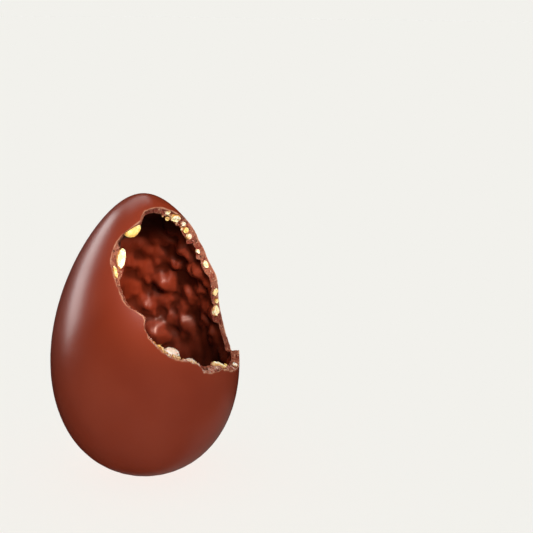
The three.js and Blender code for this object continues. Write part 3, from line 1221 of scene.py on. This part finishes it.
    def _edge(self) -> tuple[Array, Array, Array, Array]:
        """The outer edge's stations, with the reach strayed by noise drawn for each.

        Returns:
            Clock, reach and slant, and evenly spaced clock angles turned to match the first.
        """
        clock, reach, slant = self.cut.smooth(self.shape, self.stations)
        drawn = np.random.default_rng(self.jag_seed).normal(size=self.stations)
        stray = ring_mean(drawn, np.array([0.3, 0.6, 0.3]))
        even = clock[0] + np.linspace(0, 2 * math.pi, self.stations, endpoint=False)
        shift = np.angle(np.mean(np.exp(1j * (clock - even))))
        return clock, reach + self.jag * stray / self.shape.girth, slant, even + shift

    def _inner_reach(self, frames: FaceFrame, clock: Array, reach: Array, slant: Array) -> Array:
        """Reach of the hollow's edge: the outer edge's less thickness * tan(slant) as an angle.

        Args:
            frames: Frames of the face at the edge.
            clock: Clock angles at the edge.
            reach: Reach at the edge.
            slant: Slants of the face.

        Returns:
            Reaches, in radians.
        """
        thick = self.thickness(self.cut.direction(reach, clock), np.array(self.calm_edge))
        thick = ring_mean(thick, np.ones(9) / 9)
        step = self.shape.point(self.cut.direction(reach - NUDGE, clock)) - frames.edge
        return reach - thick * np.tan(slant) / (np.linalg.norm(step, axis=-1) / NUDGE)

    def build(self) -> bpy.types.Object:
        """The wall's mesh.

        Every ring has the same stations. From the edge's clock angle and reach, the skin's and
        the hollow's rings run to the point opposite the opening, with the reach growing to a half
        turn and the clock angles evening out; the face runs straight from the skin's edge to the
        hollow's, pushed in and out by noise and sunk under the nuts.

        Returns:
            The object, with material slots for skin, face and hollow.
        """
        clock, reach, slant, even = self._edge()
        frames = FaceFrame.at(self.shape, self.cut, clock, reach, slant)
        inner_reach = self._inner_reach(frames, clock, reach, slant)

        share = np.linspace(1, 0, self.skin_rows, endpoint=False)[1:, None] ** self.skin_crowding
        skin = self.shape.point(self._cap(clock, reach, even, share))
        skin[..., 2] = np.maximum(skin[..., 2], 0)

        share = np.linspace(0, 1, self.hollow_rows, endpoint=False)[:, None] ** self.hollow_crowding
        risen = smoothstep(share * (math.pi - inner_reach) / math.radians(self.calm_reach))
        calm = self.calm_edge + (1 - self.calm_edge) * risen
        hollow = self._settled(self.inside(self._cap(clock, inner_reach, even, share), calm))

        down = np.linspace(0, 1, self.face_rows + 2)[:, None, None]
        face = frames.edge + (hollow[0] - frames.edge) * down
        depth = np.linalg.norm(face - frames.edge, axis=-1)
        facing = unit(frames.inward - np.einsum(
            "ij,ij->i", frames.inward, frames.slope)[:, None] * frames.slope)
        face = (face + facing * self._stray(face, down[..., 0])[..., None])[:-1]

        far = self.cut.direction(np.array(math.pi), np.array(0.0))
        wall = MeshMaker.build("egg_wall", *MeshMaker.rings(
            self.shape.point(far), np.concatenate([skin, face, hollow]),
            self.inside(far, np.array(1.0))))
        near = np.linalg.norm(skin - frames.edge, axis=-1)
        # Painted highlight: a pale line along the edge, on the skin and the top of the face.
        self._store(wall, "edge_highlight", *self._edge_highlight(frames.edge, near, depth[:-1]),
                    np.zeros(hollow.shape[:-1]))
        # Painted shade: dark pits in the face, and dark valleys, ceiling and corner in the hollow.
        self._store(wall, "shade", np.zeros(skin.shape[:-1]), self._pit_shade(face), self._painted_shade(hollow))
        self._slots(wall, len(skin), self.face_rows + 1)
        wall.data.set_sharp_from_angle(angle=math.radians(self.crease))
        return wall

    def _edge_highlight(self, edge: Array, near: Array, depth: Array) -> tuple[Array, Array]:
        """Painted highlight on the skin and the face beside the edge: exp(-(d / width)^2) in
        patches.

        Args:
            edge: Points of the edge.
            near: Distances of the skin's points from the edge.
            depth: Distances of the face's points from the edge.

        Returns:
            Shares for the skin and for the face.
        """
        patch = 0.5 + 0.5 * np.tanh(1.5 * self.coarse(edge * 0.35))
        width = self.edge_highlight_width * (0.5 + patch)
        on_skin = 0.85 * np.exp(-(near / width) ** 2) * (0.35 + 0.65 * patch)
        on_face = np.exp(-(depth / (1.3 * width)) ** 2) * (0.45 + 0.55 * patch)
        return on_skin, on_face

    @staticmethod
    def _store(wall: bpy.types.Object, name: str, *rings: Array) -> None:
        """Stores shares for the rings of skin, face and hollow, with 0 for the two end points."""
        MeshMaker.attribute(
            wall, name, np.concatenate([[0], np.concatenate(rings).ravel(), [0]]))

    def _cap(self, clock: Array, reach: Array, even: Array, share: Array) -> Array:
        """Directions from the edge towards the point opposite the opening.

        Args:
            clock: Clock angles at the edge.
            reach: Reach at the edge.
            even: Evenly spaced clock angles.
            share: How far each ring has gone, from 0 at the edge to 1, as a column.

        Returns:
            Unit directions (rings, stations, 3).
        """
        turned = clock + (even - clock) * smoothstep(share)
        return self.cut.direction(reach + (math.pi - reach) * share, turned)

    def _stray(self, points: Array, down: Array) -> Array:
        """How far points of the face stand out of it.

        Ridged coarse noise and fine noise, least at both edges of the face. The face sinks under
        each nut, and once more in a narrow gap round it; reaches are in half lengths of the nut.

        Args:
            points: Points of the face (rings, stations, 3).
            down: How far down the face each ring is, from 0 to 1, as a column.

        Returns:
            Distances (rings, stations).
        """
        pocket_deep, pocket_reach, pocket_soft = 0.9, 1.02, 0.1
        gap_deep, gap_reach, gap_wide = 0.35, 1.06, 0.09
        calm_reach, calm_wide, near = 0.9, 0.4, 1.5
        middle = np.sqrt(np.clip(np.sin(math.pi * down), 0, 1))
        ridged = 0.6 - np.abs(self.coarse(points))
        stray = middle * (self.rough[0] * ridged + self.rough[1] * self.fine(points))
        for place in self.places:
            local = place.local(points)
            ring = np.hypot(local[..., 0], local[..., 1])
            sunk = (pocket_deep * smoothstep((pocket_reach - ring) / pocket_soft)
                    + gap_deep * np.exp(-((ring - gap_reach) / gap_wide) ** 2))
            calmed = stray * smoothstep((ring - calm_reach) / calm_wide) - sunk
            stray = np.where(np.abs(local[..., 2]) < near, calmed, stray)
        return stray

    def _slots(self, wall: bpy.types.Object, skin_rings: int, face_bands: int) -> None:
        """Gives every face of the wall its material slot by the ring it lies in.

        Args:
            wall: The wall.
            skin_rings: Rings of the skin.
            face_bands: Bands of the broken face.
        """
        count = self.skin_rows - 1 + self.face_rows + self.hollow_rows
        bands = np.repeat(np.arange(count), self.stations)
        kind = np.where(bands < skin_rings, 0, np.where(bands < skin_rings + face_bands, 1, 2))
        ends = np.repeat([0, 2], self.stations)
        slots = np.concatenate([kind, ends]).astype(np.int32)
        wall.data.polygons.foreach_set("material_index", slots)

    def dress(self, wall: bpy.types.Object, finishes: list[bpy.types.Material]) -> None:
        """Puts the finishes for skin, face and hollow on the wall."""
        for finish in finishes:
            wall.data.materials.append(finish)


@dataclass
class HazelnutSlice:
    """A hazelnut in the broken face, whole or snapped off there.

    Attributes:
        place: The nut and where it lies.
        number: Its number, as in its node's name.
        around: Points round every ring.
        rows: Rings from pole to pole.
        fill: Share of its solid that it fills, which leaves room for its relief.
        seam: Depth, half width and stray of the seam between the nut's halves.
        snapped: Coarse and fine relief of a snapped face.
        rounded: Coarse and fine relief of a round top.
        rounded_seam: Share of the seam's depth that a round top keeps.
        sunk: How far a snapped face lies below its solid's.
        rim_fade: Distance over which the rim's colour fades in from the snapped face.
        crease: Angle between two faces from which their edge shows sharp, in degrees.
    """

    place: NutPlace
    number: int
    around: int = 72
    rows: int = 40
    fill: float = 0.985
    seam: tuple[float, float, float] = (0.4, 0.24, 0.12)
    snapped: tuple[float, float] = (0.2, 0.09)
    rounded: tuple[float, float] = (0.12, 0.06)
    rounded_seam: float = 0.6
    sunk: float = 0.1
    rim_fade: float = 0.45
    crease: float = 40.0

    def surface(self) -> tuple[tuple[Array, Array, Array], Array]:
        """The nut's closed surface and how much of its rim colour each point shows.

        An ellipsoid with its pole facing out of the break, trimmed by seeded planes round it so
        that its outline is a shard's, its radius pushed in and out by noise. What stands further
        out than the snapped face is pressed down to it; the face has a relief of its own and the
        seam between the nut's two halves.

        Returns:
            Points, quads and triangles, and the shares of the rim colour.
        """
        nut, half = self.place.nut, self.place.halves
        theta = math.pi * (np.arange(1, self.rows) / self.rows)[:, None]
        phi = 2 * math.pi * np.arange(self.around) / self.around
        poles = np.array([[0.0, 0.0, 1.0], [0.0, 0.0, -1.0]])
        shell = np.concatenate([poles[:1], sphere_direction(theta, phi).reshape(-1, 3), poles[1:]])
        rng = np.random.default_rng(500 + self.number)
        lumpy = WaveNoise(1.5, 100 + self.number)
        relief = WaveNoise(2.4, 200 + self.number)
        grain = WaveNoise(1.0, 300 + self.number)
        radius = self._trimmed(shell, rng) + 0.02 * lumpy(shell)
        local = shell * radius[:, None] * half * self.fill

        deep, wide, stray = self.seam
        turn, aside = rng.uniform(-0.5, 0.5), rng.uniform(-0.2, 0.2) * nut.wide
        seam = local[:, 1] * math.cos(turn) + local[:, 0] * math.sin(turn) - aside
        groove = deep * np.exp(-((seam + stray * relief(local)) / wide) ** 2)
        coarse, fine = self.rounded if nut.whole else self.snapped
        if nut.whole:
            limit = (local[:, 2] + coarse * relief(local) + fine * grain(local)
                     - self.rounded_seam * groove)
        else:
            crown = coarse * relief(local) + fine * grain(local) - groove
            limit = nut.proud - self.sunk + crown
        above = local[:, 2] - limit
        local[:, 2] = limit if nut.whole else np.minimum(local[:, 2], limit)
        axes = np.stack([self.place.axis_long, self.place.axis_wide, self.place.facing])
        points = self.place.centre + local @ axes
        rows = points[1:-1].reshape(self.rows - 1, self.around, 3)

        patchy = 0.5 + 0.5 * np.tanh(2 * relief(local * 0.6 + 9))
        face = np.exp(-np.clip(above, 0, None) / self.rim_fade) * (0.35 + 0.65 * patchy)
        skin = (0.25 if nut.whole else 0.5) + 0.5 * patchy
        rim = np.where((above > 0) & (not nut.whole), face, skin)
        rim = np.clip(rim + 1.2 * groove, 0, 1)
        return MeshMaker.rings(points[0], rows, points[-1]), rim

    def build(self) -> bpy.types.Object:
        """The nut's mesh, with sharp edges where it snapped.

        Returns:
            The object.
        """
        faces, rim = self.surface()
        piece = MeshMaker.build(f"nut_{self.number:02d}", *faces)
        MeshMaker.attribute(piece, "rim", rim)
        if not self.place.nut.whole:
            piece.data.set_sharp_from_angle(angle=math.radians(self.crease))
        return piece

    def _trimmed(self, shell: Array, rng: np.random.Generator) -> Array:
        """Radius of a unit ball trimmed by planes round its equator.

        The radius along u is the soft least of 1 and reach / (u . n) over the planes' normals n:
        (1 + sum of ((u . n)+ / reach)^9)^(-1/9). Large whole nuts get fewer and shallower planes.

        Args:
            shell: Unit directions.
            rng: Draws the planes.

        Returns:
            Radii.
        """
        nut, bit_length, power = self.place.nut, 4.9, 9
        smooth = nut.whole and nut.long > bit_length
        count = 4 if smooth else 7
        least = 0.84 if smooth else 0.9 if nut.long > 2 * nut.wide else 0.74
        round_ = 2 * math.pi * (np.arange(count) + rng.uniform(-0.3, 0.3, count)) / count
        lean = rng.uniform(-0.5, 0.5, count)
        normals = np.stack(
            [np.cos(round_) * np.cos(lean), np.sin(round_) * np.cos(lean), np.sin(lean)], axis=-1)
        pressed = np.clip(shell @ normals.T, 0, None) / rng.uniform(least, 1.0, count)
        return (1 + (pressed**power).sum(axis=-1)) ** (-1 / power)


@dataclass(frozen=True)
class Crumbs:
    """Small bits left on the broken face along a stretch of the edge, as one piece.

    Attributes:
        name: Name of the piece.
        clock: First and last clock angle, in degrees.
        down: Least and most distance down the face.
        long: Smallest and largest length.
        slim: Width as a share of the length, least and most.
        proud: Least and most that a bit stands out of the face, as a share of its thickness.
        count: How many bits.
        seed: Seed of the draw.
        whole: Whether the bits keep their round tops.
        plump: Thickness as a share of the length.
        turn: Most that a bit is turned in the face, in degrees.
        gap: Least distance that they keep from the skin.
    """

    name: str
    clock: tuple[float, float]
    down: tuple[float, float]
    long: tuple[float, float]
    slim: tuple[float, float]
    proud: tuple[float, float]
    count: int
    seed: int
    whole: bool = False
    plump: float = 0.6
    turn: float = 60.0
    gap: float = 0.1

    def build(self, shape: EggShape, cut: BrokenEdge) -> bpy.types.Object:
        """The bits' mesh: a small trimmed slice for each, at a drawn place on the face.

        Args:
            shape: The egg.
            cut: The broken edge.

        Returns:
            The object.
        """
        rng = np.random.default_rng(self.seed)
        points, quads, triangles, rims, start = [], [], [], [], 0
        for number in range(self.count):
            long = rng.uniform(*self.long)
            thick = self.plump * long
            bit = Nut(rng.uniform(*self.clock), rng.uniform(*self.down), long,
                      long * rng.uniform(*self.slim), thick, rng.uniform(-self.turn, self.turn),
                      thick * rng.uniform(*self.proud), NutKind.CREAM, self.whole)
            place = bit.place(shape, cut)
            maker = HazelnutSlice(place, self.seed + number, around=24, rows=14)
            (spots, bands, caps), rim = maker.surface()
            points.append(shape.held_in(spots, self.gap))
            quads.append(bands + start)
            triangles.append(caps + start)
            rims.append(rim)
            start += len(spots)
        piece = MeshMaker.build(
            self.name, *(np.concatenate(parts) for parts in (points, quads, triangles)))
        MeshMaker.attribute(piece, "rim", np.concatenate(rims))
        piece.data.set_sharp_from_angle(angle=math.radians(HazelnutSlice.crease))
        return piece


CHOCOLATE_FLAKES = (
    Crumbs("flakes_low_right", (264, 306), (1.2, 5.0), (3.0, 6.0), (0.3, 0.55),
           (0.2, 0.4), 24, 900),
    Crumbs("flakes_low", (190, 262), (0.5, 1.6), (1.8, 3.4), (0.35, 0.8),
           (0.3, 0.7), 50, 940, True),
    Crumbs("flakes_high", (14, 100), (0.8, 6.5), (1.2, 2.6), (0.4, 0.9),
           (0.2, 0.4), 24, 980),
)
NUT_CRUMBS = (
    Crumbs("nut_bits_left", (198, 226), (1.8, 3.8), (2.6, 4.8), (0.5, 0.8),
           (0.65, 0.9), 22, 1020, True),
    Crumbs("nut_bits_low", (229, 247), (1.6, 4.4), (2.0, 3.8), (0.5, 0.8),
           (0.6, 0.9), 13, 1040, True),
    Crumbs("nut_bits_high", (34, 90), (2.0, 7.0), (1.6, 3.4), (0.5, 0.9),
           (0.2, 0.4), 14, 1060),
)


# ---- Camera, floor and light --------------------------------------------------------------


@dataclass(frozen=True)
class StudioCamera:
    """The camera: its bearing, and the pixel at which it shows its target.

    Attributes:
        azimuth: Degrees round from the -Y side towards +X.
        elevation: Degrees above the horizon.
        distance: From the target.
        target: Point it is set by.
        pixel: Where the target shows, in a picture of `width` by `width`.
        lean: Turn about the line of sight, in radians.
        width: Width and height of that picture.
        lens: Focal length for a 36 mm sensor.
    """

    azimuth: float = -45.0
    elevation: float = 15.0
    distance: float = 850.0
    target: tuple[float, float, float] = (0.0, 0.0, 90.0)
    pixel: tuple[float, float] = (145.34, 340.5)
    lean: float = -0.0125
    width: int = 533
    lens: float = 84.67

    def build(self) -> bpy.types.Object:
        """The camera object, made the scene's camera.

        Returns:
            The camera.
        """
        sensor = 36.0
        focal = self.lens / sensor * self.width
        a, e = math.radians(self.azimuth), math.radians(self.elevation)
        back = np.array([math.sin(a) * math.cos(e), -math.cos(a) * math.cos(e), math.sin(e)])
        right = unit(np.cross(-back, [0.0, 0.0, 1.0]))
        up = np.cross(right, -back)
        level = right * math.cos(self.lean) + up * math.sin(self.lean)
        world = np.column_stack([level, -back, np.cross(level, -back)])
        u, v = self.pixel[0] - self.width / 2, self.width / 2 - self.pixel[1]
        sight = unit(np.array([u / focal, v / focal, -1.0]))
        side = unit(np.array([1.0, 0.0, u / focal]))
        local = np.column_stack([side, sight, np.cross(side, sight)])
        turn = world @ local.T
        data = bpy.data.cameras.new("camera")
        data.sensor_width = sensor
        data.lens = self.lens
        data.clip_start, data.clip_end = 0.05, 100.0
        camera = bpy.data.objects.new("camera", data)
        place = (np.array(self.target) + self.distance * back) * MM
        camera.matrix_world = Matrix.Translation(place.tolist()) @ Matrix(turn.tolist()).to_4x4()
        bpy.context.scene.collection.objects.link(camera)
        bpy.context.scene.camera = camera
        return camera


def facing_matrix(bearing: tuple[float, float], aim: tuple[float, float, float],
                  distance: float, roll: float = 0.0) -> Matrix:
    """Place and turn of a light that looks at a point.

    Args:
        bearing: Azimuth and elevation of the light seen from the point, in degrees.
        aim: The point, in metres.
        distance: From the point, in metres.
        roll: Turn of the light about its line of sight, in degrees.

    Returns:
        The matrix; the light's own -Z looks at the point.
    """
    a, e = (math.radians(angle) for angle in bearing)
    out = np.array([math.sin(a) * math.cos(e), -math.cos(a) * math.cos(e), math.sin(e)])
    side = np.array([math.cos(a), math.sin(a), 0.0])
    up, roll = np.cross(out, side), math.radians(roll)
    turn = np.column_stack([
        side * math.cos(roll) + up * math.sin(roll), up * math.cos(roll) - side * math.sin(roll), out
    ])
    place = np.array(aim) + out * distance
    return Matrix.Translation(place.tolist()) @ Matrix(turn.tolist()).to_4x4()


@dataclass(frozen=True, kw_only=True)
class EggLight:
    """A light that falls on the egg alone.

    Attributes:
        name: Name of the light.
        bearing: Azimuth and elevation of the light seen from the point it faces, in degrees.
        aim: The point it faces, in metres.
        distance: From that point, in metres.
        power: Watts.
        colour: Its colour.
        diffuse: Whether it lights surfaces, and not only shows in their gloss.
    """

    name: str
    bearing: tuple[float, float]
    aim: tuple[float, float, float] = (0.0, 0.0, 0.095)
    distance: float
    power: float
    colour: tuple[float, float, float] = (1.0, 1.0, 1.0)
    diffuse: bool = True

    def hang(self, data: bpy.types.Light, egg_only: bpy.types.Collection,
             roll: float = 0.0) -> bpy.types.Object:
        """The light's object in its place.

        Args:
            data: The light's own data.
            egg_only: Light linking that leaves the floor out.
            roll: Turn about its line of sight, in degrees.

        Returns:
            The light.
        """
        data.energy = self.power
        data.color = self.colour
        light = bpy.data.objects.new(self.name, data)
        light.matrix_world = facing_matrix(self.bearing, self.aim, self.distance, roll)
        light.visible_diffuse = self.diffuse
        light.light_linking.receiver_collection = egg_only
        bpy.context.scene.collection.objects.link(light)
        return light


@dataclass(frozen=True, kw_only=True)
class SoftBox(EggLight):
    """A rectangular studio light.

    Attributes:
        size: Width and height, in metres.
        glossy: Whether it shows in reflections.
        roll: Turn about its line of sight, in degrees.
    """

    size: tuple[float, float]
    glossy: bool = True
    roll: float = 0.0

    def build(self, egg_only: bpy.types.Collection) -> None:
        """Makes the light; the floor neither catches it nor shades the egg from it.

        Args:
            egg_only: Light linking that leaves the floor out.
        """
        data = bpy.data.lights.new(self.name, "AREA")
        data.shape = "RECTANGLE"
        data.size, data.size_y = self.size
        light = self.hang(data, egg_only, self.roll)
        light.visible_glossy = self.glossy
        light.visible_camera = False
        light.light_linking.blocker_collection = egg_only


@dataclass(frozen=True, kw_only=True)
class SpotLight(EggLight):
    """A round soft spot through the opening, for the hollow's surface or for its gloss.

    Attributes:
        radius: Its own radius, in metres.
        cone: Full angle of its cone, in degrees.
        blend: Share of the cone over which it fades.
    """

    radius: float
    cone: float
    blend: float = 0.5

    def build(self, egg_only: bpy.types.Collection) -> None:
        """Makes the light, which shows in gloss if it doesn't light surfaces.

        Args:
            egg_only: Light linking that leaves the floor out.
        """
        data = bpy.data.lights.new(self.name, "SPOT")
        data.shadow_soft_size = self.radius
        data.spot_size = math.radians(self.cone)
        data.spot_blend = self.blend
        light = self.hang(data, egg_only)
        light.visible_glossy = not self.diffuse


@dataclass(frozen=True)
class Studio:
    """The pale floor, the soft surroundings and the lights.

    Attributes:
        floor_size: Side of the floor, in metres.
        floor_colour: Colour of the floor.
        air_strength: Brightness of the surroundings.
        dome: Strength of the even light from above that falls on the egg alone.
        wash: Strength of the light that falls on the floor alone.
        lights: The soft boxes, and the spots into the hollow.
    """

    floor_size: float = 60.0
    floor_colour: Colour = srgb(242, 241, 236)
    air_strength: float = 0.08
    dome: float = 0.85
    wash: float = 2.89
    lights: tuple[SoftBox | SpotLight, ...] = (
        SoftBox(name="light_key", bearing=(-40.0, 35.0), distance=1.4, size=(0.6, 0.6),
                power=13.6, colour=(1.0, 0.96, 0.9), glossy=False),
        SoftBox(name="light_back_left", bearing=(-161.0, 20.0), distance=1.5, size=(0.58, 1.3),
                power=14.0, diffuse=False, roll=43.0),
        SoftBox(name="light_top", bearing=(155.0, 60.0), distance=1.4, size=(1.0, 0.8), power=4.5),
        SoftBox(name="light_low_right", bearing=(0.0, -90.0), aim=(0.36, 0.0, 0.092), distance=0.3,
                size=(0.5, 0.5), power=0.139, colour=(1.0, 0.88, 0.82), diffuse=False),
        SpotLight(name="light_hollow", bearing=(-20.0, 24.0), aim=(0.004, -0.006, 0.126),
                  distance=1.3, radius=0.022, cone=4.2, power=98.0, colour=(1.0, 0.9, 0.82)),
        SpotLight(name="light_sheen", bearing=(-48.0, 38.0), aim=(0.036, 0.032, 0.086),
                  distance=1.3, radius=0.03, cone=3.6, power=120.0, diffuse=False),
    )

    def build(self) -> None:
        """Makes the floor, the surroundings and the lights."""
        floor = self._floor()
        self._surroundings()

        floor_only = bpy.data.collections.new("lit_floor_only")
        floor_only.objects.link(floor)
        egg_only = bpy.data.collections.new("lit_egg_only")
        egg_only.objects.link(floor)
        egg_only.collection_objects[0].light_linking.link_state = "EXCLUDE"
        for light in self.lights:
            light.build(egg_only)
        self._sky("light_floor", self.wash, 150.0, floor_only)
        self._sky("light_dome", self.dome, 180.0, egg_only)
        bpy.context.scene.view_settings.view_transform = "Standard"

    def _floor(self) -> bpy.types.Object:
        """The floor: one square of plain paper a hair below what stands on it.

        Returns:
            The floor.
        """
        half, below = self.floor_size / 2, -1e-4
        mesh = bpy.data.meshes.new("floor")
        corners = ((-half, -half), (half, -half), (half, half), (-half, half))
        mesh.from_pydata([(x, y, below) for x, y in corners], [], [(0, 1, 2, 3)])
        floor = bpy.data.objects.new("floor", mesh)
        bpy.context.scene.collection.objects.link(floor)
        material = bpy.data.materials.new("floor_paper")
        material.use_nodes = True
        shader = material.node_tree.nodes["Principled BSDF"]
        shader.inputs["Base Color"].default_value = self.floor_colour
        shader.inputs["Roughness"].default_value = 1.0
        shader.inputs["Specular IOR Level"].default_value = 0.0
        mesh.materials.append(material)
        floor.visible_glossy = False
        return floor

    @staticmethod
    def _sky(name: str, strength: float, angle: float, lit: bpy.types.Collection) -> None:
        """A wide light from above that only what it lights can shade.

        Args:
            name: Name of the light.
            strength: Its strength.
            angle: How wide it is, in degrees.
            lit: Light linking that holds what it lights.
        """
        data = bpy.data.lights.new(name, "SUN")
        data.energy = strength
        data.angle = math.radians(angle)
        sun = bpy.data.objects.new(name, data)
        sun.visible_glossy = False
        data.cycles.use_multiple_importance_sampling = False
        sun.light_linking.receiver_collection = lit
        sun.light_linking.blocker_collection = lit
        bpy.context.scene.collection.objects.link(sun)

    def _surroundings(self) -> None:
        """Even light from all round, seen by the camera as the floor's own colour."""
        world = bpy.data.worlds.new("surroundings")
        world.use_nodes = True
        tree = world.node_tree
        sky = tree.nodes["Background"]
        sky.inputs["Strength"].default_value = self.air_strength
        sky.inputs["Color"].default_value = (1.0, 1.0, 1.0, 1.0)
        paper = tree.nodes.new("ShaderNodeBackground")
        paper.inputs["Color"].default_value = self.floor_colour
        path = tree.nodes.new("ShaderNodeLightPath")
        choice = tree.nodes.new("ShaderNodeMixShader")
        wire(
            tree,
            (path.outputs["Is Camera Ray"], choice.inputs["Fac"]),
            (sky.outputs["Background"], choice.inputs[1]),
            (paper.outputs["Background"], choice.inputs[2]),
            (choice.outputs["Shader"], tree.nodes["World Output"].inputs["Surface"]),
        )
        world.cycles_visibility.glossy = False
        bpy.context.scene.world = world


# ---- Everything together ------------------------------------------------------------------


def report(piece: bpy.types.Object) -> None:
    """Logs a piece's name and size."""
    sides = " x ".join(f"{side / MM:.1f}" for side in piece.dimensions)
    LOG.info("%s: %s mm, %d faces", piece.name, sides, len(piece.data.polygons))


def main() -> None:
    """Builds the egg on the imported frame, and the studio round it."""
    logging.basicConfig(level=logging.INFO, format="%(message)s")
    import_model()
    StudioCamera().build()
    Studio().build()

    book = NodeBook()
    shape, cut = EggShape(), BrokenEdge()
    places = [nut.place(shape, cut) for nut in BROKEN_NUTS]

    maker = ChocolateWall(shape, cut, LumpField(), places)
    wall = maker.build()
    finishes = (MouldedChocolate(), BrokenChocolate(), RunChocolate())
    maker.dress(wall, [finish.make(book) for finish in finishes])
    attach(wall, "root")
    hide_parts(WALL_NODE)
    report(wall)

    flesh = {kind: finish.make(book) for kind, finish in NUT_FINISHES.items()}
    for number, place in enumerate(places, start=1):
        piece = HazelnutSlice(place, number).build()
        piece.data.materials.append(flesh[place.nut.kind])
        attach(piece, "root")
        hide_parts(f"hazelnut_{number:02d}")
        report(piece)

    for crumbs, kind, slot in (
        *((crumbs, NutKind.FLAKE, "chocolate") for crumbs in CHOCOLATE_FLAKES),
        *((crumbs, NutKind.SPLIT, "hazelnut") for crumbs in NUT_CRUMBS),
    ):
        piece = crumbs.build(shape, cut)
        piece.data.materials.append(flesh[kind])
        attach(piece, "root")
        report(piece)


if __name__ == "__main__":
    main()
